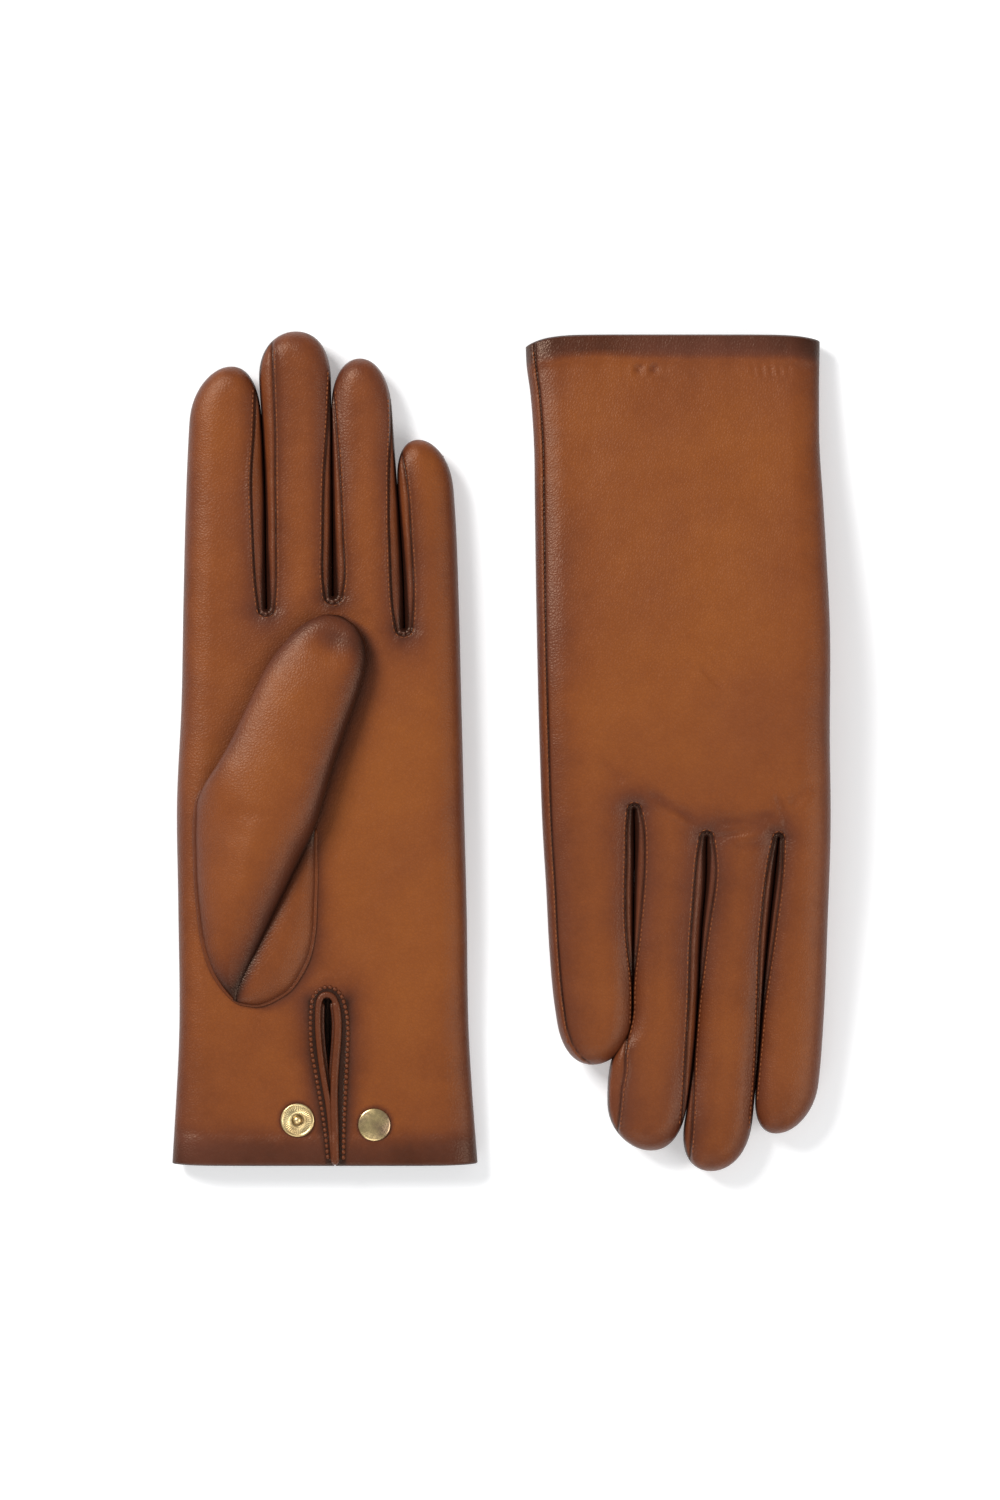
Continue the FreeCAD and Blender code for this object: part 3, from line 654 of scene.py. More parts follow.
def new_piece(glove, name, points, faces, dark, material, normals=None):
    """A smooth piece from points in a hand frame and their faces."""
    turned = glove.name == "right"
    if turned:
        faces = [f[::-1] for f in faces]
    mesh = bpy.data.meshes.new(name)
    mesh.from_pydata([tuple(p) for p in place(glove, points)], [], faces)
    mesh.shade_smooth()
    if normals is not None:
        sign = -1.0 if turned else 1.0
        mesh.normals_split_custom_set_from_vertices([tuple(sign * c for c in n) for n in normals])
    values = np.broadcast_to(np.asarray(dark, np.float32), len(points)).copy()
    mesh.attributes.new("burnish", "FLOAT", "POINT").data.foreach_set("value", values)
    mesh.materials.append(material)
    return linked(bpy.data.objects.new(name, mesh))


def linked(obj):
    bpy.context.collection.objects.link(obj)
    return obj


# ---------------------------------------------------------------- the sewn leather of the hand and fingers

def split_shares(width, left, right):
    """Column places across a strip, from 0 to 1, close together at its two sides."""
    left, right = np.array(left) / width, 1 - np.array(right[::-1]) / width
    count = max(2, round((right[0] - left[-1]) * width / COLUMN_PITCH))
    between = np.linspace(left[-1], right[0], count + 1)[1:-1]
    return np.concatenate([left, between, right])


def strip_sides(glove, f, y):
    """x of the two sewn edges or silhouettes of a finger's own leather."""
    left, right, _ = glove.finger_sides(f, y)
    half = (right - left) / 2
    if f > 0:
        left = left + np.minimum(glove.seam_inset(f, -1, y), half * 0.9)
    if f < 3:
        right = right - np.minimum(glove.seam_inset(f, 1, y), half * 0.9)
    return left, right


def base_row(glove, side, f):
    """y where finger f's rows start at its left and right sides."""
    left = SILHOUETTE_BASE[0] if f == 0 else glove.crotch(side, f - 1)
    right = SILHOUETTE_BASE[1] if f == 3 else glove.crotch(side, f)
    return left, right


def finger_rows(glove, f):
    """y of a finger's rows past its split, close together round the tip."""
    _, tip_y, length = glove.data["tips"][f]
    start = glove.splits[f]
    count = round((tip_y - length - start) / ROW_PITCH)
    straight = np.linspace(start, tip_y - length, count + 1)
    curved = tip_y - length + length * np.sin(np.linspace(0, math.pi / 2, 15)[1:])
    return np.concatenate([straight, curved])


def finger_columns(glove, f):
    """Column places across finger f's own leather, from 0 to 1."""
    left, right = strip_sides(glove, f, glove.splits[f])
    first = EDGE_STEPS if f == 0 else SEAM_STEPS
    last = EDGE_STEPS if f == 3 else SEAM_STEPS
    return split_shares(float(right - left), first, last)


def leather_height(glove, side, x, y, share, seam_d):
    """z of the finished leather."""
    lift = relief(glove, side, x, y, share, seam_d) * np.clip(share * 1.6, 0, 1)
    lift = lift + gathers(glove, side, x, y) * share
    return glove.surface(side, y, share) + SIDES[side] * lift


def finger_patch(glove, skin, side, f, y, name):
    """Finger f's own leather over rows y (a 2-D array), with its sewn edges turned down."""
    shares = finger_columns(glove, f)
    left, right = strip_sides(glove, f, y)
    x = left + (right - left) * shares
    seam_d, edge_d = [], np.full(x.shape, FAR)
    for d, sewn in ((x - left, f > 0), (right - x, f < 3)):
        if sewn:
            seam_d.append(d)
        else:
            edge_d = np.minimum(edge_d, d)
    if name in HAND_SKINS:
        share, rounded = glove.hand_share(side, x, y), 1.0
        seam_d = glove.seam_distances(side, x, y)
    else:
        share, rounded = glove.finger_share(side, f, x, y), glove.finger_sides(f, y)[2]
    tip_x, tip_y, _ = glove.data["tips"][f]
    tip_d = np.minimum(np.hypot(x - tip_x, y - tip_y), TIP_REACH * rounded + 0 * x)
    z = leather_height(glove, side, x, y, share, seam_d)
    dark = burnish(glove, side, x, y, seam_d, edge_d, tip_d)
    for toward, sewn in ((-1, f > 0), (1, f < 3)):
        if sewn:
            column = 0 if toward < 0 else -1
            depth = TURN_DOWN * np.clip(glove.seam_inset(f, toward, y[:, column]) / 0.8 - 0.2, 0, 1)
            x, y, z, dark = turned_down(x, y, z, dark, column, SIDES[side] * depth)
    skin.patch(x, y, z, dark, name, flip=side == "back")


def turned_down(x, y, z, dark, column, drop):
    """The same arrays with one more column, where a sewn edge turns down."""
    at = 0 if column == 0 else x.shape[1]
    return (np.insert(x, at, x[:, column], 1), np.insert(y, at, y[:, column], 1),
            np.insert(z, at, z[:, column] - drop, 1), np.insert(dark, at, 1.0, 1))


def finger_root_rows(glove, side, f, shares):
    """Rows from the slanting base of a finger to its straight split."""
    left, right = base_row(glove, side, f)
    start = left + (right - left) * shares
    steps = np.linspace(0, 1, ROOT_ROWS)[:, None]
    return start + (glove.splits[f] - start) * steps


def hand_patch(glove, skin, side, name):
    """The leather from the cuff to the crotches."""
    tops_x, tops_y = [], []
    for f in range(4):
        shares = finger_columns(glove, f)
        left, right = base_row(glove, side, f)
        y = left + (right - left) * shares
        a, b = strip_sides(glove, f, y)
        tops_x.append(a + (b - a) * shares)
        tops_y.append(y)
        if f < 3:
            crotch = glove.crotch(side, f)
            angle = np.linspace(-math.pi / 2, math.pi / 2, U_STEPS + 1)[1:-1]
            half = glove.seam_half(f, np.sin(angle), crotch)
            tops_x.append(glove.edges[f + 1](crotch) + half * np.sin(angle))
            tops_y.append(crotch - U_SQUASH * half * np.cos(angle))
    top_x, top_y = np.concatenate(tops_x), np.concatenate(tops_y)
    cols = len(top_x)
    margin = len(EDGE_STEPS)
    between = np.arange(CUFF_STEPS[-1] + ROW_PITCH, HAND_TOP - CROTCH_STEPS[-1], ROW_PITCH)
    rows = np.concatenate([CUFF_STEPS, between, HAND_TOP - np.array(CROTCH_STEPS[::-1])])[:, None]
    y = rows + (top_y - HAND_TOP) * (rows / HAND_TOP) ** 3
    left, right = glove.edges[0](y), glove.edges[4](y)
    inset = EDGE_STEPS[-1]
    inner_left, inner_right = left + inset, right - inset
    place_top = (top_x - inner_left[-1]) / (inner_right[-1] - inner_left[-1])
    core = slice(margin, -margin)
    inner = place_top[core]
    even = np.linspace(0, 1, cols - 2 * margin + 2)[1:-1]
    place_cuff = 0.35 * inner + 0.65 * even
    weight = ease(rows / HAND_TOP) ** 0.8
    x = np.empty(y.shape)
    x[:, :margin] = left[:, :margin] + np.array(EDGE_STEPS)
    x[:, -margin:] = right[:, -margin:] - np.array(EDGE_STEPS[::-1])
    mixed = place_cuff + (inner - place_cuff) * weight
    x[:, core] = inner_right[:, core] * mixed + inner_left[:, core] * (1 - mixed)
    x[-1] = top_x
    seam_d = glove.seam_distances(side, x, y)
    z = leather_height(glove, side, x, y, glove.hand_share(side, x, y), seam_d)
    dark = burnish(glove, side, x, y, seam_d, np.minimum(x - left, right - x), np.full(x.shape, FAR))
    skin.patch(x, y, z, dark, name, flip=side == "back")
    at = 0
    for f in range(3):
        at += len(finger_columns(glove, f))
        u = slice(at - 1, at + U_STEPS)
        u_x, u_y, u_z = (np.stack([row[-1, u]] * 2) for row in (x, y, z))
        u_z = u_z + np.array([[0.0], [-TURN_DOWN * SIDES[side]]])
        skin.patch(u_x, u_y, u_z, np.array([[0.9], [1.0]]), name, flip=side == "back")
        at += U_STEPS - 1


def trank(glove):
    """The palm, the back and the fingers' own leather, welded where one sheet wraps round."""
    skin = Skin(glove)
    for side in SIDES:
        hand = f"{side}_leather"
        hand_patch(glove, skin, side, hand)
        for f, finger in enumerate(FINGERS):
            columns = finger_columns(glove, f)
            finger_patch(glove, skin, side, f, finger_root_rows(glove, side, f, columns), hand)
            rows = finger_rows(glove, f)[:, None] + 0 * columns
            finger_patch(glove, skin, side, f, rows, f"{finger}_leather")
    return skin


# Places across one side of a gap, from the gap to just under the sewn edge.
WEB_OFFSETS = np.array([0, 0.04, 0.10, 0.19, 0.30, 0.44, 0.60, 0.78, 0.90, 1.0])


def web_surface(glove, side, x, y, share, seam_d):
    """z of a fourchette: lower than the leather it is sewn to, and lowest at the seam."""
    raised = share + (share**0.62 - share) * ease(seam_d / 1.3)
    z = glove.surface(side, y, raised)
    fade = np.clip(share * 2.0, 0, 1)
    wave = 0.22 * ripples(x, y, 7.0, 4.0)
    return z - SIDES[side] * fade * (WEB_DROP + 0.5 * bump(seam_d, 0.4) + wave)


def web_dark(d, half, depth):
    """Darkness of a fourchette: its own tone, with painted shade in the gap between its legs that grows deep
    in the crotch, and a dark line at its seam.
    """
    deep = fading(depth, 24.0)
    # Width of the painted shade in the gap.
    gap_shade_width = np.minimum(0.5 + 1.25 * deep, 0.58 * half + 0.05)
    dark = 0.27 + 0.85 * np.exp(-(d / gap_shade_width) ** 4) + 0.65 * np.exp(-((half - d) / 0.32) ** 2)
    return np.clip(dark + 0.22 * deep, 0, 1)


def web_strip(glove, skin, side, f, toward, y, name):
    """One leg of a fourchette along finger f, on the side toward its neighbour (-1 or 1)."""
    gap = f - 1 if toward < 0 else f
    left, right, _ = glove.finger_sides(f, y)
    inset = glove.seam_inset(f, toward, y)
    d = (inset + TUCK * np.clip(inset, 0, 1)) * WEB_OFFSETS
    x = left + d if toward < 0 else right - d
    y = y + 0 * d
    z = web_surface(glove, side, x, y, glove.finger_share(side, f, x, y), inset - d)
    dark = web_dark(d, inset, y - glove.crotch(side, gap))
    skin.patch(x, y, z, dark, name, flip=(side == "back") != (toward > 0))


def web_root(glove, skin, side, gap, name):
    """The bottom of a fourchette round a crotch."""
    crotch = glove.crotch(side, gap)
    angle = np.linspace(-math.pi / 2, math.pi / 2, 2 * WEB_STEPS + 1)[:, None]
    half = glove.seam_half(gap, np.sin(angle), crotch)
    d = (half + TUCK) * WEB_OFFSETS
    x = glove.edges[gap + 1](crotch) + d * np.sin(angle)
    y = crotch - U_SQUASH * d * np.cos(angle)
    z = web_surface(glove, side, x, y, glove.hand_share(side, x, y), half - d)
    pleats = 0.32 * np.cos(9 * angle) * np.cos(angle) ** 2 * ease(d / half)
    z = z + SIDES[side] * pleats
    skin.patch(x, y, z, web_dark(d, half, 0 * d), name, flip=side == "back")


def webs(glove):
    """The fourchettes: one welded skin in the hand, and one for each finger."""
    hand = Skin(glove)
    fingers = [Skin(glove) for _ in FINGERS]
    for side in SIDES:
        for gap in range(3):
            web_root(glove, hand, side, gap, "finger_webs")
            for f, toward in ((gap, 1), (gap + 1, -1)):
                steps = np.linspace(0, 1, ROOT_ROWS)[:, None]
                root = glove.crotch(side, gap) * (1 - steps) + glove.splits[f] * steps
                web_strip(glove, hand, side, f, toward, root, "finger_webs")
                rows = finger_rows(glove, f)[:, None]
                neighbour = FINGERS[f + toward]
                web_strip(glove, fingers[f], side, f, toward, rows, f"{FINGERS[f]}_fourchette_to_{neighbour}")
    return hand, fingers


# ---------------------------------------------------------------- the vent and its lapels

VENT_WELTS = {          # (x, y) of the middle of each bound edge, from the vent's end to the cuff
    "stud": [(-1.5, 51.2), (-1.75, 50.0), (-2.0, 44.4), (-1.4, 35.4), (-0.1, 26.3), (1.0, 20.2), (2.0, 12.0),
             (3.0, 0.2)],
    "cap": [(3.2, 51.2), (3.5, 50.0), (4.2, 44.4), (4.0, 38.4), (3.5, 32.3), (3.1, 26.3), (3.0, 20.2),
            (3.2, 11.2), (3.4, 0.2)],
}
ARCH = [(-1.9, 48.4), (-1.75, 50.0), (-1.45, 51.3), (-0.7, 52.5), (0.7, 53.0), (2.2, 52.5), (3.1, 51.4),
        (3.5, 50.0), (3.75, 48.4)]
VENT_ROWS = {           # the puckered stitching round the vent
    "stud": [(-4.0, 50.0), (-4.3, 44.4), (-3.9, 35.4), (-2.7, 28.7), (-1.5, 21.5), (-0.3, 14.2), (0.5, 8.1),
             (1.1, 1.8)],
    "cap": [(6.2, 50.0), (7.0, 46.3), (7.3, 41.4), (7.1, 35.4), (6.7, 26.3), (6.1, 14.2), (5.8, 1.6)],
}
ARCH_ROW = [(-4.0, 50.0), (-3.2, 53.0), (-1.2, 54.8), (0.8, 55.4), (3.0, 54.9), (5.1, 53.0), (6.2, 50.0)]
OPENING_TOP = 51.8
FOLD_TOP = 53.0
CARVE_TOP = 56.0        # nothing past this is cut
FOLDS = {"stud": ((-3.0, FOLD_TOP), (-32.0, 0.0)), "cap": ((6.2, FOLD_TOP), (35.2, 0.0))}


def vent_edges(y):
    """x of the two bound edges at y."""
    return [float(np.interp(y, *zip(*[(b, a) for a, b in VENT_WELTS[lapel][::-1]]))) for lapel in LAPELS]


def in_vent(x, y):
    """Whether a plan point lies in the opening between the two bound edges."""
    stud, cap = vent_edges(y)
    return y < OPENING_TOP and stud < x < cap


def past_fold(lapel, x, y):
    """How far a plan point lies past a lapel's fold line, on the lapel's side."""
    (ax, ay), (bx, by) = FOLDS[lapel]
    side = 1 if lapel == "stud" else -1
    return side * ((x - ax) * (ay - by) + (y - ay) * (bx - ax)) / math.hypot(bx - ax, by - ay)


def carve(bm, tag, lapel_tags):
    """Cuts the vent out of the faces with that tag, and marks the two lapels beside it."""
    layer = bm.faces.layers.int.get("piece")
    lines = list(FOLDS.values())
    for lapel in LAPELS:
        edge = VENT_WELTS[lapel]
        lines += list(zip(edge[:-1], edge[1:]))
    lines.append(((-3, OPENING_TOP), (6, OPENING_TOP)))
    for (ax, ay), (bx, by) in lines:
        faces = [f for f in bm.faces if f[layer] == tag and f.calc_center_median().y < CARVE_TOP]
        geom = set(faces)
        for face in faces:
            geom.update(face.edges)
            geom.update(face.verts)
        bmesh.ops.bisect_plane(bm, geom=list(geom), dist=1e-5, plane_co=(ax, ay, 0),
                               plane_no=(by - ay, ax - bx, 0))
    gone = []
    for face in bm.faces:
        if face[layer] != tag:
            continue
        c = face.calc_center_median()
        if c.y > OPENING_TOP + 2:
            continue
        if in_vent(c.x, c.y):
            gone.append(face)
            continue
        for lapel, new_tag in zip(LAPELS, lapel_tags):
            on_stud_side = c.x < sum(vent_edges(c.y)) / 2
            if c.y < FOLD_TOP and on_stud_side == (lapel == "stud") and past_fold(lapel, c.x, c.y) > 0:
                face[layer] = new_tag
    bmesh.ops.delete(bm, geom=gone, context="FACES")


# ---------------------------------------------------------------- bands inside the glove

def inside(glove, side, x_share, y, inset):
    """A point of the glove's section at y, moved inwards; x_share runs from 0 to 1 round one side."""
    left, right = glove.edges[0](y), glove.edges[4](y)
    x = left + (right - left) * x_share
    share = glove.hand_share(side, x, y)
    middle = glove.middle(y)
    z = glove.surface(side, y, share)
    centre, half = (left + right) / 2, (right - left) / 2
    depth = (glove.high(y) - glove.low(y)) / 2
    return centre + (x - centre) * (1 - inset / half), middle + (z - middle) * (1 - inset / depth)


HEM_PROFILE = [(0.0, 0.05), (-0.22, 0.3), (-0.28, 0.6), (-0.1, 0.95), (0.5, 1.15), (2.0, 1.2), (4.5, 1.2),
               (7.4, 1.15), (7.7, 1.0)]


LINING_START = 7.0
LINING_END = 149.5
LINING_INSET = 1.35


def section_shares():
    """Places round one side of the glove's section, close together at its two edges."""
    return (1 - np.cos(np.linspace(0, math.pi, SECTION_STEPS + 1)))[None, :] / 2


def hem(glove):
    """The turned-in band at the cuff's edge."""
    skin = Skin(glove)
    profile = np.array(HEM_PROFILE)
    for side in SIDES:
        y = profile[:, :1]
        x, z = inside(glove, side, section_shares(), np.maximum(y, 0), profile[:, 1:])
        drop = 0.6 * (1 - roll(np.maximum(y, 0), 0.8)) * SIDES[side]
        z = z - drop * np.abs(z - glove.middle(0)) / 5
        skin.patch(x, y + 0 * x, z, np.full(x.shape, 0.9), f"hem_{side}", flip=side == "palm")
    return skin


def lining(glove):
    """The knit pocket that lines the hand."""
    skin = Skin(glove)
    y = np.concatenate([np.arange(LINING_START, 146, 2.5), [146, 148, LINING_END]])[:, None]
    close = np.clip((y - 140) / (LINING_END - 140), 0, 1) ** 2
    for side in SIDES:
        x, z = inside(glove, side, section_shares(), y, LINING_INSET)
        z = z + (glove.middle(y) - z) * close
        skin.patch(x, y + 0 * x, z, np.full(x.shape, 0.5), f"lining_{side}", flip=side == "palm")
    return skin


# ---------------------------------------------------------------- the thumb

def thumb_palm(glove, s, t):
    """z of the palm's leather under a point of the thumb."""
    x, y = from_thumb(s, t)
    share = glove.hand_share("palm", x, y)
    return glove.surface("palm", y, share)


def thumb_rows(low):
    """Rows along the thumb from low to its tip, close together towards the tip."""
    round_start = THUMB_TIP - THUMB_ROUND
    straight = np.arange(low, round_start, THUMB_PITCH)
    curved = round_start + THUMB_ROUND * np.sin(np.linspace(0, math.pi / 2, 14))
    return np.concatenate([straight, curved])


def thumb_relief(s, t, u):
    """Soft waves and the dimple near the tip."""
    x, y = from_thumb(s, t)
    waves = 0.30 * ripples(x, y, 26.0, 11.0) + 0.08 * ripples(x, y, 8.0, 5.0)
    dimple = 1.3 * bump(np.hypot((s - 60.5) * 1.25, t - 1.8), 6.0)
    folds = 0.35 * bump(s - 3 - 0.35 * t, 2.2) * ease((12 - np.abs(t + 2)) / 10)
    return (waves - dimple - folds) * 4 * u * (1 - u)


def thumb_section(glove, s, u):
    """The thumb's section at s: left and right t, t at shares u across, and z of four things.

    They are the palm below, the foot of the thumb's sides, its top and its underside.
    """
    left, right = THUMB_CURVES["left"](s), THUMB_CURVES["fold"](s)
    t = left + (right - left) * u
    palm_z = thumb_palm(glove, s + 0 * t, t)
    high, low = glove.thumb_high(s), glove.thumb_low(s)
    foot = palm_z - THUMB_SINK + (low + THUMB_SIDE * (high - low) - palm_z + THUMB_SINK) * thumb_free(s)
    return left, right, t, palm_z, foot, high, low


def thumb_free(s):
    """From 0 where the thumb lies on the palm to 1 where it is free."""
    return ease((s + 6) / 22)


def thumb_wear_and_shade(s, t, left, right):
    """How dark the thumb's top is: rubbed along its left side and its fold, with painted shade where it turns
    under at the fold and in the dimple near the tip, a darker, hazier ring of painted shade and sheen round
    the tip, and darker near its foot.
    """
    edge = np.minimum(t - left, right - t)
    low_end = ease((20 - s) / 60)
    dark = rub_and_shade("thumb_left", t - left)
    # Darkest along the fold: burnish, with painted shade where the top turns under.
    dark = dark + (0.62 + 0.10 * low_end) * fading(right - t, 3.2) + 0.34 * fading(right - t, 8.0)
    rim = np.hypot((s - 53.0) / 1.1, t - 1.0)
    # A darker, hazier ring round the tip: painted shade and sheen of the crease that follows it.
    dark = dark + 0.18 * bump(rim - 11.5, 3.0) * ease((s - 50) / 12)
    # Painted shade in the dimple near the tip.
    dark = dark + 0.42 * bump(np.hypot((s - 61.5) * 1.35, t - 2.2), 4.6)
    dark = dark + 0.30 * fading(s - THUMB_FOOT, 7.0) * ease((14 - edge) / 10)
    return np.clip(dark, 0, 1)


def arch(off, power):
    """Height share of a curve that falls from 1 to 0 as off goes from 0 to 1."""
    return np.clip(1 - off.clip(0) ** power, 0, 1) ** (1 / power)


def thumb_skin(glove):
    """The thumb piece: an arch over the palm, a gusset beside it and the free part's underside."""
    skin = Skin(glove)
    u = (1 - np.cos(np.linspace(0, math.pi, 41)))[None, :] / 2
    base_rows = np.concatenate([THUMB_FOOT + np.array([0, 0.15, 0.5, 1.1, 2.0, 3.2]),
                                np.arange(-49, THUMB_SPLIT - 0.5, THUMB_PITCH), [THUMB_SPLIT]])
    free_rows = np.concatenate([[THUMB_SPLIT], thumb_rows(THUMB_SPLIT + THUMB_PITCH)])
    for rows, name in ((base_rows, "thumb_base"), (free_rows, "thumb_leather")):
        s = rows[:, None]
        left, right, t, palm_z, foot, high, _ = thumb_section(glove, s, u)
        free = thumb_free(s)
        power = 1.25 + 0.9 * free
        left_rise = arch(1 - u / THUMB_RIDGE, power)
        right_rise = arch((u - THUMB_RIDGE) / THUMB_FALL, 2.6)
        rise = np.where(u < THUMB_RIDGE, left_rise, right_rise)
        tip = roll(THUMB_TIP - s, THUMB_ROLL)
        z = foot + ((high - foot) * rise + thumb_relief(s + 0 * t, t, u)) * tip
        x, y = from_thumb(s, t)
        dark = thumb_wear_and_shade(s, t, left, right)
        if name == "thumb_base":
            tail_t = right - np.array([[0.5, 1.3]]) * (1 - free)
            sunk = (foot[:, -1:] - palm_z[:, -1:] - 0.8) * np.array([[0.5, 1.0]])
            tail_z = foot[:, -1:] + np.array([[-0.1, -0.2]]) - sunk
            tail_x, tail_y = from_thumb(s, tail_t)
            x, y, z = np.hstack([x, tail_x]), np.hstack([y, tail_y]), np.hstack([z, tail_z])
            # The leather that turns under the fold is painted fully dark, as the shade under it.
            dark = np.hstack([dark, np.ones(tail_t.shape)])
        skin.patch(x, y, z, dark, name)
    s = np.concatenate([[2.0], thumb_rows(3.6)])[:, None]
    _, _, t, _, foot, _, low = thumb_section(glove, s, u)
    belly = (1 - np.abs(2 * u - 1) ** BELLY_POWER) ** (1 / BELLY_POWER)
    x, y = from_thumb(s, t)
    tip = roll(THUMB_TIP - s, THUMB_ROLL)
    skin.patch(x, y, foot + (low - foot) * belly * tip, np.full(x.shape, 0.6), "thumb_leather", flip=True)
    thumb_gusset(glove, skin)
    return skin


def thumb_gusset(glove, skin):
    """The lower part of the thumb piece, between the fold and its seam on the palm."""
    first_rows = THUMB_FOOT + np.array([0, 0.3, 0.9, 1.8, 3.0])
    s = np.concatenate([first_rows, np.arange(-49.5, 5.1, THUMB_PITCH)])[:, None]
    v = np.linspace(0, 1, 17)[None, :]
    start, end = THUMB_CURVES["fold"](s) - 1.4, THUMB_CURVES["seam"](s)
    t = start + (end - start) * v
    palm_z = thumb_palm(glove, s + 0 * t, t)
    width = np.clip((end - start) / 16, 0, 1)
    puff = 3.6 * width**0.7 * np.sin(np.pi * np.clip(0.16 + 0.84 * v, 0, 1)) ** 0.62
    z = palm_z - 0.1 + puff + 0.15 * ripples(s + 0 * t, t, 6.0, 2.0) * width
    x, y = from_thumb(s, t)
    # Painted shade along the fold side of the gusset, under the overhang; a dark line at its seam; darker
    # where it narrows.
    dark = 0.16 + 0.72 * bump(t - start, 2.3) + 0.12 * fading(t - start, 7.0)
    dark = dark + 0.40 * fading(end - t, 0.9) + 0.15 * (1 - width)
    skin.patch(x, y, z, np.clip(dark, 0, 1), "thumb_base")


def thumb_seam():
    """Plan points of the seam that joins the thumb piece to the palm."""
    s = np.concatenate([np.linspace(4, THUMB_FOOT, 60), np.linspace(THUMB_FOOT, 5, 60)])
    t = np.concatenate([THUMB_CURVES["left"](s[:60]), THUMB_CURVES["seam"](s[60:])])
    x, y = from_thumb(s, t)
    return np.stack([x, y], -1)


# ---------------------------------------------------------------- welts, cords and stitches

def resample(points, pitch=1.0, count=0):
    """Points a pitch apart, or that many points, spread evenly along a smooth line through plan points."""
    points = np.array(points, float)
    run = np.concatenate([[0], np.cumsum(np.hypot(*np.diff(points, axis=0).T))])
    at = np.linspace(0, run[-1], count or max(2, round(run[-1] / pitch)) + 1)
    if len(points) > CLOSE_POINTS:
        return np.stack([np.interp(at, run, points[:, k]) for k in range(2)], -1)
    return np.stack([through(np.stack([run, points[:, k]], -1))(at) for k in range(2)], -1)


def palm_point_height(glove, side, x, y):
    """z of the hand's finished leather at plan points."""
    return leather_height(glove, side, x, y, glove.hand_share(side, x, y), glove.seam_distances(side, x, y))


def tube_faces(rings, sides, start=0):
    """Faces of a closed tube whose points run ring after ring."""
    faces = []
    for a in range(start, start + (rings - 1) * sides, sides):
        for j in range(sides):
            k = (j + 1) % sides
            faces.append((a + j, a + sides + j, a + sides + k, a + k))
    last = start + (rings - 1) * sides
    return faces + [tuple(range(start, start + sides)), tuple(range(last + sides - 1, last - 1, -1))]


def swept(glove, plan, z, section, name, dark, material, foot_shade=None):
    """A strip with a closed cross-section, (across, up) points, along plan points.

    The last argument is the darkness at its foot: painted shade under the strip, fading out towards its top.
    """
    forward = np.gradient(plan, axis=0)
    forward /= np.hypot(*forward.T)[:, None]
    across = np.stack([forward[:, 1], -forward[:, 0]], -1)
    section = np.array(section)
    middle = section.mean(0)
    size = np.ones(len(plan))
    size[[0, -1]], size[[1, -2]] = END_SIZES
    rings = []
    for p, h, a, k in zip(plan, z, across, size):
        rings.append([(p[0] + a[0] * u, p[1] + a[1] * u, h + w) for u, w in middle + (section - middle) * k])
    rings = np.array(rings)
    n, m = rings.shape[:2]
    if foot_shade is not None:
        up = (section[:, 1] - section[:, 1].min()) / np.ptp(section[:, 1])
        dark = np.tile(foot_shade + (dark - foot_shade) * ease(up * 1.15), n)
    return new_piece(glove, name, rings.reshape(-1, 3), tube_faces(n, m), dark, material)


def oval(width, thick, low, count=14):
    """A rounded cross-section that stands from low upwards."""
    angle = np.linspace(0, 2 * math.pi, count + 1)[:-1]
    bulge = 0.75
    x = width / 2 * np.sign(np.cos(angle)) * np.abs(np.cos(angle)) ** bulge
    z = low + thick / 2 + thick / 2 * np.sign(np.sin(angle)) * np.abs(np.sin(angle)) ** bulge
    return list(zip(x, z))


def stitches(glove, side, runs, name, material, radius=STITCH_RADIUS, length=STITCH_LENGTH):
    """Thread along runs of points on the leather, one short raised length of it for each stitch."""
    sign = SIDES[side]
    points, faces = [], []
    angle = np.linspace(0, 2 * math.pi, STITCH_SIDES + 1)[:-1]
    for run in runs:
        middles = (run[1:] + run[:-1]) / 2
        along = run[1:] - run[:-1]
        along /= np.linalg.norm(along, axis=1)[:, None]
        for middle, forward in zip(middles, along):
            across = np.array([forward[1], -forward[0], 0])
            across /= np.linalg.norm(across)
            up = np.cross(across, forward) * sign
            if up[2] * sign < 0:
                up = -up
            start = len(points)
            for place_along, fat, lift in STITCH_PROFILE:
                centre = middle + forward * place_along * length + up * lift
                for a in angle:
                    points.append(centre + radius * fat * (math.cos(a) * across + 0.7 * math.sin(a) * up))
            faces += tube_faces(len(STITCH_PROFILE), STITCH_SIDES, start)
    if sign > 0:
        faces = [f[::-1] for f in faces]
    return new_piece(glove, name, np.array(points), faces, STITCH_DARK, material)


# ---------------------------------------------------------------- materials

def linear(r, g, b):
    """An 8-bit display colour as the linear colour that a shader takes."""
    def channel(c):
        c = c / 255
        return c / 12.92 if c <= 0.04045 else ((c + 0.055) / 1.055) ** 2.4
    return channel(r), channel(g), channel(b), 1.0


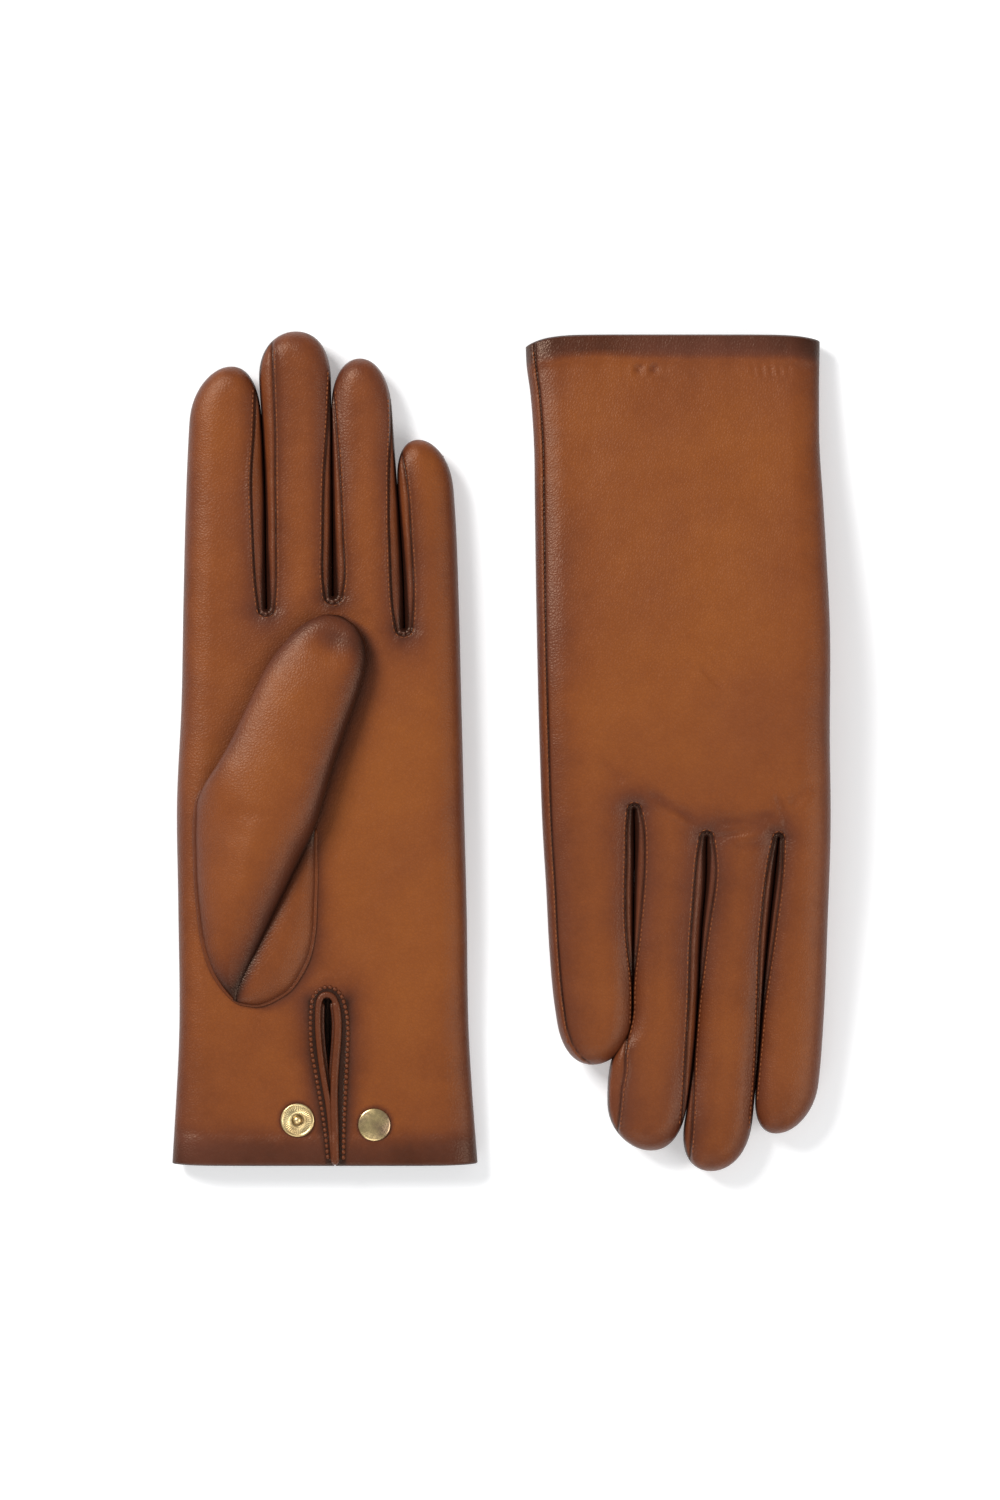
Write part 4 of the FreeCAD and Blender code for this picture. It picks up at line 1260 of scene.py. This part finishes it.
class Nodes:
    """Short calls for building a material's node tree."""

    def __init__(self, name):
        self.material = bpy.data.materials.new(name)
        self.material.use_nodes = True
        self.tree = self.material.node_tree
        self.shader = self.tree.nodes["Principled BSDF"]
        self.place = self.add("ShaderNodeTexCoord").outputs["Object"]

    def add(self, kind, inputs=None, **settings):
        node = self.tree.nodes.new(kind)
        for key, value in settings.items():
            setattr(node, key, value)
        for key, value in (inputs or {}).items():
            self.feed(node.inputs[key], value)
        return node

    def surface(self, **inputs):
        """Feeds the shader's sockets, named with _ for a space."""
        for key, value in inputs.items():
            self.feed(self.shader.inputs[key.replace("_", " ")], value)
        return self.material

    def feed(self, socket, value):
        if isinstance(value, bpy.types.NodeSocket):
            self.tree.links.new(value, socket)
        else:
            socket.default_value = value

    def noise(self, scale, detail=4.0, rough=0.55):
        return self.add("ShaderNodeTexNoise", {"Vector": self.place, "Scale": scale, "Detail": detail,
                                               "Roughness": rough}).outputs["Fac"]

    def fit(self, value, low, high, to_low=0.0, to_high=1.0):
        inputs = {"Value": value, "From Min": low, "From Max": high, "To Min": to_low, "To Max": to_high}
        return self.add("ShaderNodeMapRange", inputs).outputs["Result"]

    def math(self, operation, a, b):
        node = self.add("ShaderNodeMath", operation=operation)
        self.feed(node.inputs[0], a)
        self.feed(node.inputs[1], b)
        return node.outputs[0]

    def mix(self, factor, a, b):
        node = self.add("ShaderNodeMix", data_type="RGBA")
        self.feed(node.inputs["Factor"], factor)
        self.feed(node.inputs[6], a)
        self.feed(node.inputs[7], b)
        return node.outputs[2]

    def ramp(self, value, stops):
        node = self.add("ShaderNodeValToRGB", {"Fac": value})
        elements = node.color_ramp.elements
        while len(elements) < len(stops):
            elements.new(0.5)
        for element, (at, colour) in zip(elements, stops):
            element.position = at
            element.color = colour
        return node.outputs["Color"]

    def bump(self, height, strength, distance, under=None):
        inputs = {"Height": height, "Strength": strength, "Distance": distance}
        if under is not None:
            inputs["Normal"] = under
        return self.add("ShaderNodeBump", inputs).outputs["Normal"]


LEATHER_STOPS = [(0.0, linear(140, 75, 26)), (0.22, linear(126, 64, 23)), (0.45, linear(102, 48, 19)),
                 (0.70, linear(74, 33, 16)), (1.0, linear(34, 13, 7))]
PATINA = linear(118, 68, 52)
SHEEN = (1.0, 0.72, 0.54, 1.0)      # colour of the leather's highlights
DYE_WARP = 0.0012
FLOOR_GLOW = 0.28       # keeps the floor white, as in the photo


def leather(name, darker=0.0, smooth=1.0):
    """Burnished hide: tan, rubbed dark at seams and edges, with painted shade from its darkness attribute in
    crotches, creases and beside raised parts, and with pores, fine wrinkles and a mottled dye.
    """
    n = Nodes(name)
    rub_and_shade = n.add("ShaderNodeAttribute", attribute_name="burnish").outputs["Fac"]
    clouds = n.fit(n.noise(22.0, 3.0, 0.5), 0.3, 0.7, -0.10, 0.12)
    blots = n.fit(n.noise(110.0, 5.0, 0.6), 0.3, 0.7, -0.045, 0.05)
    specks = n.fit(n.noise(700.0, 2.0, 0.5), 0.3, 0.7, -0.02, 0.02)
    shade = n.math("ADD", n.math("ADD", rub_and_shade, clouds), n.math("ADD", blots, specks))
    shade = n.math("ADD", shade, 0.10 + darker)
    colour = n.ramp(shade, LEATHER_STOPS)
    haze = n.math("MULTIPLY", n.fit(n.noise(24.0, 3.0, 0.5), 0.40, 0.70), n.fit(rub_and_shade, 0.1, 0.6, 0.12, 0.42))
    haze = n.math("MULTIPLY", haze, n.fit(rub_and_shade, 0.62, 0.92, 1.0, 0.2))
    colour = n.mix(haze, colour, PATINA)
    warp = n.add("ShaderNodeTexNoise", {"Vector": n.place, "Scale": 330.0, "Detail": 2.0}).outputs["Color"]
    warped = n.add("ShaderNodeVectorMath", operation="MULTIPLY_ADD")
    n.feed(warped.inputs[0], warp)
    n.feed(warped.inputs[1], (DYE_WARP, DYE_WARP, DYE_WARP))
    n.feed(warped.inputs[2], n.place)
    cells = n.add("ShaderNodeTexVoronoi", {"Vector": warped.outputs[0], "Scale": 1080.0, "Randomness": 1.0},
                  feature="DISTANCE_TO_EDGE").outputs["Distance"]
    pebbles = n.fit(cells, 0.0, 0.34)
    colour = n.mix(n.fit(pebbles, 0.0, 0.6, 0.14, 0.0), colour, linear(70, 34, 20))
    rough = n.fit(n.math("ADD", shade, clouds), 0.0, 1.0, 0.48 * smooth, 0.34 * smooth)
    grain = n.bump(pebbles, 0.38, 0.00014)
    wrinkles = n.bump(n.noise(300.0, 3.0, 0.5), 0.20, 0.00030, grain)
    soft = n.bump(n.noise(60.0, 3.0, 0.5), 0.35, 0.0012, wrinkles)
    return n.surface(Base_Color=colour, Roughness=rough, Specular_IOR_Level=0.44, Specular_Tint=SHEEN,
                     Normal=soft)


def thread(name, light, dark):
    """Waxed thread, twisted along its length."""
    n = Nodes(name)
    twist = n.add("ShaderNodeTexWave", {"Vector": n.place, "Scale": 900.0, "Distortion": 3.0}).outputs["Fac"]
    return n.surface(Base_Color=n.mix(n.fit(n.noise(500.0), 0.3, 0.7), light, dark), Roughness=0.6,
                     Specular_IOR_Level=0.25, Normal=n.bump(twist, 0.4, 0.00006))


def knit(name):
    """The fine knit of the lining."""
    n = Nodes(name)
    loops = n.add("ShaderNodeTexWave", {"Vector": n.place, "Scale": 260.0, "Distortion": 1.5}).outputs["Fac"]
    return n.surface(Base_Color=n.mix(loops, linear(64, 42, 33), linear(104, 76, 60)), Roughness=0.9,
                     Normal=n.bump(loops, 0.6, 0.0003))


def metal(name, bright, worn, rough, bump_scale, tone_scale=180.0):
    """Polished metal, a little toned and scratched."""
    n = Nodes(name)
    tone = n.fit(n.noise(tone_scale, 3.0), 0.35, 0.65)
    tarnish = n.add("ShaderNodeAttribute", attribute_name="burnish").outputs["Fac"]
    return n.surface(Base_Color=n.mix(tarnish, n.mix(tone, bright, worn), linear(84, 56, 30)), Metallic=1.0,
                     Roughness=n.fit(n.noise(900.0, 5.0), 0.3, 0.7, rough, rough + 0.14),
                     Normal=n.bump(n.noise(bump_scale, 3.0), 0.15, 0.00005))


def table_top(name):
    """A plain pale floor, barely mottled."""
    n = Nodes(name)
    pale = n.mix(n.noise(6.0, 2.0), (0.86, 0.86, 0.86, 1), (0.90, 0.90, 0.90, 1))
    return n.surface(Base_Color=pale, Roughness=0.8, Emission_Color=(1.0, 1.0, 1.0, 1.0),
                     Emission_Strength=FLOOR_GLOW)


HIDE = leather("glove_leather")
EDGE = leather("edge_leather", darker=0.42, smooth=0.9)
THREAD = thread("seam_thread", linear(150, 84, 42), linear(104, 54, 28))
KNIT = knit("lining_knit")
BRASS = metal("snap_brass", linear(255, 234, 176), linear(242, 208, 148), 0.30, 300.0)
CAP_BRASS = metal("cap_brass", linear(238, 212, 150), linear(150, 118, 104), 0.20, 300.0, 90.0)
STEEL = metal("snap_steel", linear(190, 186, 176), linear(140, 134, 124), 0.28, 1500.0)
FLOOR = table_top("table_top")


# ---------------------------------------------------------------- pieces

def finish_piece(obj, slot_name, nodes, body=None, bend=None):
    """Hides the CAD nodes that a piece stands for and hangs it on the body that moves it, or, given a bend,
    only bakes its place into its mesh; slot_name is not used.
    """
    if nodes:
        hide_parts(*nodes)
    if bend:
        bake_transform(obj)
    else:
        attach(obj, body)


def finger_bend(glove, f):
    name = glove.name
    z = glove.middle(glove.splits[f])
    start = place(glove, (0, glove.splits[f], z))
    end = place(glove, (0, glove.splits[f] + BLEND_LENGTH, z))
    return f"{name}_hand", f"{name}_{FINGERS[f]}_finger", tuple(start), tuple(end)


def lapel_bend(glove, lapel):
    (ax, ay), (bx, by) = FOLDS[lapel]
    length = math.hypot(bx - ax, by - ay)
    side = 1 if lapel == "stud" else -1
    nx, ny = side * (ay - by) / length, side * (bx - ax) / length
    start = place(glove, (ax, ay, 10))
    end = place(glove, (ax + nx * FOLD_WIDTH, ay + ny * FOLD_WIDTH, 10))
    return f"{glove.name}_hand", f"{glove.name}_{lapel}_lapel", tuple(start), tuple(end)


def thumb_bend(glove):
    ends = (THUMB_SPLIT, THUMB_SPLIT + THUMB_BLEND)
    start, end = (tuple(place(glove, (*from_thumb(s, 0), 15))) for s in ends)
    return f"{glove.name}_hand", f"{glove.name}_thumb", start, end


def faces_of(bm, skin, name):
    layer = bm.faces.layers.int.get("piece")
    tag = skin.names.index(name)
    return [f for f in bm.faces if f[layer] == tag]


def ready(bm):
    """Brings normals and indices up to date."""
    bm.normal_update()
    bm.verts.index_update()
    bm.faces.ensure_lookup_table()


def build_trank(glove):
    name = glove.name
    skin = trank(glove)
    stud, cap = skin.tag("stud_lapel"), skin.tag("cap_lapel")
    bm = skin.mesh()
    carve(bm, skin.tag("palm_leather"), (stud, cap))
    ready(bm)
    hand = f"{name}_hand"
    for part in HAND_SKINS:
        label = f"{name}_{part.replace('leather', 'skin')}"
        obj = piece_from(bm, glove, label, faces_of(bm, skin, part), HIDE)
        finish_piece(obj, "leather", [f"{name}_{part}"], hand)
    for lapel in LAPELS:
        obj = piece_from(bm, glove, f"{name}_{lapel}_lapel_skin", faces_of(bm, skin, f"{lapel}_lapel"), HIDE,
                         LEATHER)
        finish_piece(obj, "leather", [f"{name}_{lapel}_flap"], bend=lapel_bend(glove, lapel))
    for f, finger in enumerate(FINGERS):
        obj = piece_from(bm, glove, f"{name}_{finger}_skin", faces_of(bm, skin, f"{finger}_leather"), HIDE)
        finish_piece(obj, "leather", [f"{name}_{finger}_leather", f"{name}_{finger}_lining"],
                     bend=finger_bend(glove, f))
    bm.free()


def build_webs(glove):
    name = glove.name
    hand, fingers = webs(glove)
    bm = hand.mesh()
    ready(bm)
    obj = piece_from(bm, glove, f"{name}_web_skin", list(bm.faces), HIDE)
    finish_piece(obj, "edge_leather", [f"{name}_finger_webs"], f"{name}_hand")
    bm.free()
    for f, skin in enumerate(fingers):
        bm = skin.mesh()
        ready(bm)
        for part in skin.names:
            obj = piece_from(bm, glove, f"{name}_{part}_skin", faces_of(bm, skin, part), HIDE)
            finish_piece(obj, "edge_leather", [f"{name}_{part}"], bend=finger_bend(glove, f))
        bm.free()


def build_inside(glove):
    """The hem's turned-in band and the lining."""
    name = glove.name
    for kind, skin, material, slot_name, node, label in (
            ("hem", hem(glove), EDGE, "edge_leather", "cuff_hem", "cuff_hem_band"),
            ("lining", lining(glove), KNIT, "lining", "hand_lining", "lining_pocket")):
        stud, cap = skin.tag("stud_side"), skin.tag("cap_side")
        bm = skin.mesh()
        carve(bm, skin.tag(f"{kind}_palm"), (stud, cap))
        ready(bm)
        hand_faces = faces_of(bm, skin, f"{kind}_palm") + faces_of(bm, skin, f"{kind}_back")
        obj = piece_from(bm, glove, f"{name}_{label}", hand_faces, material)
        finish_piece(obj, slot_name, [f"{name}_{node}"], f"{name}_hand")
        if kind == "hem":
            for lapel in LAPELS:
                faces = faces_of(bm, skin, f"{lapel}_side")
                obj = piece_from(bm, glove, f"{name}_{lapel}_lapel_hem", faces, material)
                finish_piece(obj, slot_name, [], bend=lapel_bend(glove, lapel))
        bm.free()


def vent_line(glove, points, pitch, shift=0.0, lift=0.0):
    """Points along a line beside the vent, on the palm's leather."""
    plan = resample(points, pitch)
    plan[:, 0] += shift
    return plan, palm_point_height(glove, "palm", plan[:, 0], plan[:, 1]) + lift


def shadow_strip_and_puckers(glove, edge, row, count, name, mover):
    """A dark raised strip of painted shadow beside a bound edge, and the row of puckered stitching along it.
    """
    plan = resample(edge, count=count) * 0.45 + resample(row, count=count) * 0.55
    z = palm_point_height(glove, "palm", plan[:, 0], plan[:, 1])
    # A raised strip painted almost black, as the shadow beside the bound edge.
    obj = swept(glove, plan, z, oval(2.7, 0.75, -0.55), f"{name}_channel", 0.95, HIDE)
    finish_piece(obj, "edge_leather", [], **mover)
    plan, z = vent_line(glove, row, PUCKER_PITCH)
    obj = stitches(glove, "palm", [np.column_stack([plan, z])], f"{name}_puckers", HIDE, PUCKER_RADIUS,
                   PUCKER_LENGTH)
    finish_piece(obj, "edge_leather", [], **mover)


def build_vent(glove):
    """The bound edges of the vent, the arch at its end, and the strip of painted shadow and puckered row
    round it.
    """
    name = glove.name
    for lapel, into, tube, rise in (("stud", 1, STUD_TUBE, 0.0), ("cap", -1, CAP_TUBE, 0.7)):
        mover = {"bend": lapel_bend(glove, lapel)}
        plan, z = vent_line(glove, VENT_WELTS[lapel], WELT_PITCH)
        z = z + rise * ease((30 - plan[:, 1]) / 20)
        # Each bound edge is painted darker towards its foot, as shade under it.
        obj = swept(glove, plan, z, oval(*tube), f"{name}_{lapel}_welt", 0.44, HIDE, foot_shade=1.0)
        finish_piece(obj, "edge_leather", [f"{name}_{lapel}_flap_binding"], **mover)
        plan, z = vent_line(glove, VENT_WELTS[lapel], WELT_PITCH, into * 1.1, -1.5)
        obj = swept(glove, plan[1:], z[1:], oval(1.7, 0.8, -0.4), f"{name}_{lapel}_welt_facing", 0.62, HIDE)
        finish_piece(obj, "edge_leather", [], **mover)
        shadow_strip_and_puckers(glove, VENT_WELTS[lapel], VENT_ROWS[lapel], 60, f"{name}_{lapel}_lapel", mover)
    plan, z = vent_line(glove, ARCH, 0.5, 0.0, 0.05)
    # The arch is painted darker towards its foot, as shade under it.
    obj = swept(glove, plan, z, oval(*STUD_TUBE), f"{name}_vent_arch", 0.46, HIDE, foot_shade=1.0)
    finish_piece(obj, "edge_leather", [], f"{name}_hand")
    shadow_strip_and_puckers(glove, ARCH, ARCH_ROW, 30, f"{name}_vent_arch", {"body": f"{name}_hand"})


def build_thumb(glove):
    name = glove.name
    skin = thumb_skin(glove)
    bm = skin.mesh()
    ready(bm)
    base = piece_from(bm, glove, f"{name}_thumb_base_skin", faces_of(bm, skin, "thumb_base"), HIDE)
    finish_piece(base, "leather", [f"{name}_thumb_base"], f"{name}_hand")
    free = piece_from(bm, glove, f"{name}_thumb_skin", faces_of(bm, skin, "thumb_leather"), HIDE)
    finish_piece(free, "leather", [f"{name}_thumb_leather", f"{name}_thumb_lining"], bend=thumb_bend(glove))
    bm.free()
    plan = resample(thumb_seam(), 1.2)
    s, t = to_thumb(plan[:, 0], plan[:, 1])
    z = thumb_palm(glove, s, t)
    # The thumb's seam cord is painted darker towards its foot, as shade under it.
    obj = swept(glove, plan, z, oval(1.4, 0.9, -0.45, 12), f"{name}_thumb_seam", 0.40, HIDE, foot_shade=0.95)
    finish_piece(obj, "edge_leather", [], f"{name}_hand")


def finger_edge_runs(glove, side, f):
    """Points along the sewn edges of finger f, in the groove beside the lip."""
    runs = []
    _, tip_y, length = glove.data["tips"][f]
    for gap, toward in ((f - 1, -1), (f, 1)):
        if not 0 <= gap <= 2:
            continue
        start = glove.crotch(side, gap) + 0.5
        y = np.arange(start, tip_y - 0.3 * length, STITCH_PITCH)
        y = y[glove.seam_inset(f, toward, y) > 0.15]
        left, right = strip_sides(glove, f, y)
        x = left + SEAM_STITCH_INSET if toward < 0 else right - SEAM_STITCH_INSET
        own = np.where(toward < 0, x - left, right - x)
        in_hand = y < glove.splits[f]
        share = np.where(in_hand, glove.hand_share(side, x, y), glove.finger_share(side, f, x, y))
        z = leather_height(glove, side, x, y, share, [own])
        runs.append(np.column_stack([x, y, z]))
    return runs


def crotch_runs(glove, side):
    """Points round the bottom of each finger seam."""
    runs = []
    for gap in range(3):
        crotch = glove.crotch(side, gap)
        middle_half = float(glove.seam_half(gap, 0.0, crotch)) + SEAM_STITCH_INSET
        angle = np.linspace(-math.pi / 2, math.pi / 2, round(2.6 * middle_half / STITCH_PITCH) + 1)
        half = glove.seam_half(gap, np.sin(angle), crotch) + SEAM_STITCH_INSET
        x = glove.edges[gap + 1](crotch) + half * np.sin(angle)
        y = crotch - U_SQUASH * half * np.cos(angle) - 0.3 * np.cos(angle)
        runs.append(np.column_stack([x, y, palm_point_height(glove, side, x, y)]))
    return runs


def build_stitches(glove):
    name = glove.name
    for side in SIDES:
        obj = stitches(glove, side, crotch_runs(glove, side), f"{name}_{side}_crotch_stitches", THREAD,
                       CROTCH_STITCH_RADIUS)
        finish_piece(obj, "edge_leather", [], f"{name}_hand")
        for f, finger in enumerate(FINGERS):
            runs = finger_edge_runs(glove, side, f)
            obj = stitches(glove, side, runs, f"{name}_{finger}_{side}_stitches", THREAD)
            finish_piece(obj, "edge_leather", [], bend=finger_bend(glove, f))
    y = np.arange(3.0, 222.0, STITCH_PITCH)
    x = glove.edges[4](y) - SIDE_SEAM_INSET
    in_hand = y < glove.splits[3]
    share = np.where(in_hand, glove.hand_share("back", x, y), glove.finger_share("back", 3, x, y))
    seam_d = [np.full(x.shape, 30.0)]
    z = leather_height(glove, "back", x, y, share, seam_d)
    run = np.column_stack([x, y, z])
    obj = stitches(glove, "back", [run], f"{name}_side_seam_stitches", THREAD)
    finish_piece(obj, "edge_leather", [], bend=finger_bend(glove, 3))


# (radius, height, share of the fluting) from the middle of a disc outwards
STUD_PROFILE = [(0.0, 1.90, 0), (0.5, 1.85, 0), (0.9, 1.65, 0), (1.2, 1.3, 0), (1.4, 0.8, 0), (1.55, 0.42, 0),
                (1.8, 0.40, 0), (2.0, 0.58, 0), (2.2, 0.64, 0), (2.4, 0.58, 0.3), (2.6, 0.50, 1),
                (3.2, 0.48, 1), (3.8, 0.48, 1), (4.25, 0.50, 1), (4.4, 0.52, 0.3), (4.55, 0.68, 0),
                (4.8, 0.80, 0), (5.05, 0.72, 0), (5.25, 0.42, 0), (5.28, 0.1, 0), (5.15, -0.3, 0)]
CAP_PROFILE = [(0.0, 1.25, 0), (1.0, 1.22, 0), (2.0, 1.12, 0), (3.0, 0.96, 0), (3.8, 0.78, 0), (4.3, 0.66, 0),
               (4.6, 0.60, 0), (4.85, 0.52, 0), (5.0, 0.40, 0), (5.1, 0.2, 0), (5.0, -0.3, 0)]
# (radius, tarnish) over the stud
TARNISH = [(1.0, 0.0), (1.5, 0.75), (1.8, 0.75), (2.1, 0.1), (4.3, 0.15), (4.45, 0.5), (4.6, 0.1), (5.0, 0.0),
           (5.25, 0.5)]
FLUTES = 40
FLUTE_DEPTH = 0.05
FLUTE_TARNISH = 0.34
TURN_STEPS = 240


def turned_disc(glove, profile, x, y, name, material):
    """A round metal face on the palm, with flutes where the profile says."""
    profile = np.array(profile)
    turn = np.linspace(0, 2 * math.pi, TURN_STEPS, endpoint=False)
    r, height, fluting = (profile[1:, k][:, None] for k in range(3))
    flute = fluting * FLUTE_DEPTH * np.cos(FLUTES * turn)
    low, base, high = (float(palm_point_height(glove, "palm", np.array([x]), np.array([y + dy]))[0])
                       for dy in (-4, 0, 4))
    ring_x, ring_y = x + r * np.cos(turn), y + r * np.sin(turn)
    ring_z = base + height + flute + (high - low) / 8 * (ring_y - y)
    points = [(x, y, base + profile[0, 1])] + list(zip(ring_x.ravel(), ring_y.ravel(), ring_z.ravel()))
    faces = [(0, 1 + k, 1 + (k + 1) % TURN_STEPS) for k in range(TURN_STEPS)]
    for i in range(len(profile) - 2):
        for k in range(TURN_STEPS):
            a, b = 1 + i * TURN_STEPS + k, 1 + i * TURN_STEPS + (k + 1) % TURN_STEPS
            faces.append((a, a + TURN_STEPS, b + TURN_STEPS, b))
    if profile[:, 2].any():
        radius, tarnish = np.array(TARNISH).T
        dark = np.interp(r, radius, tarnish) + fluting * FLUTE_TARNISH * (1 - np.cos(FLUTES * turn)) / 2
    else:
        dark = 0.7 * ease((r - 4.95) / 0.2) + 0 * turn
    dark = np.concatenate([[0.0], np.clip(dark, 0, 1).ravel()])
    return new_piece(glove, name, np.array(points), faces, dark, material)


def build_snaps(glove):
    """The press stud's two faces, and metal on its CAD nodes inside the glove."""
    name = glove.name
    for lapel, node, profile, (x, y), material in (("stud", "snap_stud", STUD_PROFILE, SNAPS[0], BRASS),
                                                   ("cap", "snap_cap", CAP_PROFILE, SNAPS[1], CAP_BRASS)):
        obj = turned_disc(glove, profile, x, y, f"{name}_{node}_face", material)
        finish_piece(obj, "snap_brass", [f"{name}_{node}"], f"{name}_{lapel}_lapel")
    for node in ("snap_stud_backing", "snap_socket"):
        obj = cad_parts[f"{name}_{node}"]
        if not obj.material_slots:
            obj.data.materials.append(STEEL)
        for material_slot in obj.material_slots:
            material_slot.material = STEEL


BUILDERS = (build_trank, build_webs, build_inside, build_vent, build_thumb, build_stitches, build_snaps)
for glove in GLOVES:
    for build in BUILDERS:
        build(glove)


# ---------------------------------------------------------------- floor, light and camera

FLOOR_HALF = 8.0
FLOOR_Z = -0.0006


def stand_floor():
    """The white table."""
    mesh = bpy.data.meshes.new("floor")
    corners = [(-FLOOR_HALF, -FLOOR_HALF, 0), (FLOOR_HALF, -FLOOR_HALF, 0), (FLOOR_HALF, FLOOR_HALF, 0),
               (-FLOOR_HALF, FLOOR_HALF, 0)]
    mesh.from_pydata(corners, [], [(0, 1, 2, 3)])
    mesh.materials.append(FLOOR)
    obj = linked(bpy.data.objects.new("floor", mesh))
    obj.location.z = FLOOR_Z


def area_light(name, location, size, energy):
    """A rectangular light that points at the middle of the gloves."""
    data = bpy.data.lights.new(name, "AREA")
    data.shape = "RECTANGLE"
    data.size, data.size_y = size
    data.energy = energy
    obj = linked(bpy.data.objects.new(name, data))
    obj.location = location
    obj.rotation_euler = (-Vector(location)).to_track_quat("-Z", "Y").to_euler()


stand_floor()
area_light("key", (-1.1, 1.0, 1.35), (0.7, 0.7), 35)
area_light("fill", (1.25, -0.5, 1.2), (1.0, 1.0), 11)
area_light("front", (-0.3, -1.4, 1.1), (1.0, 0.8), 6)
world = bpy.data.worlds.new("studio")
world.use_nodes = True
world.node_tree.nodes["Background"].inputs["Color"].default_value = (0.95, 0.97, 1.0, 1)
world.node_tree.nodes["Background"].inputs["Strength"].default_value = 0.34
bpy.context.scene.world = world
bpy.context.scene.view_settings.view_transform = "Standard"

camera_data = bpy.data.cameras.new("camera")
camera_data.lens = 200
camera_data.sensor_width = 36
camera = linked(bpy.data.objects.new("camera", camera_data))
camera.location = (-0.00015, 0.0003, 2.592)
bpy.context.scene.camera = camera
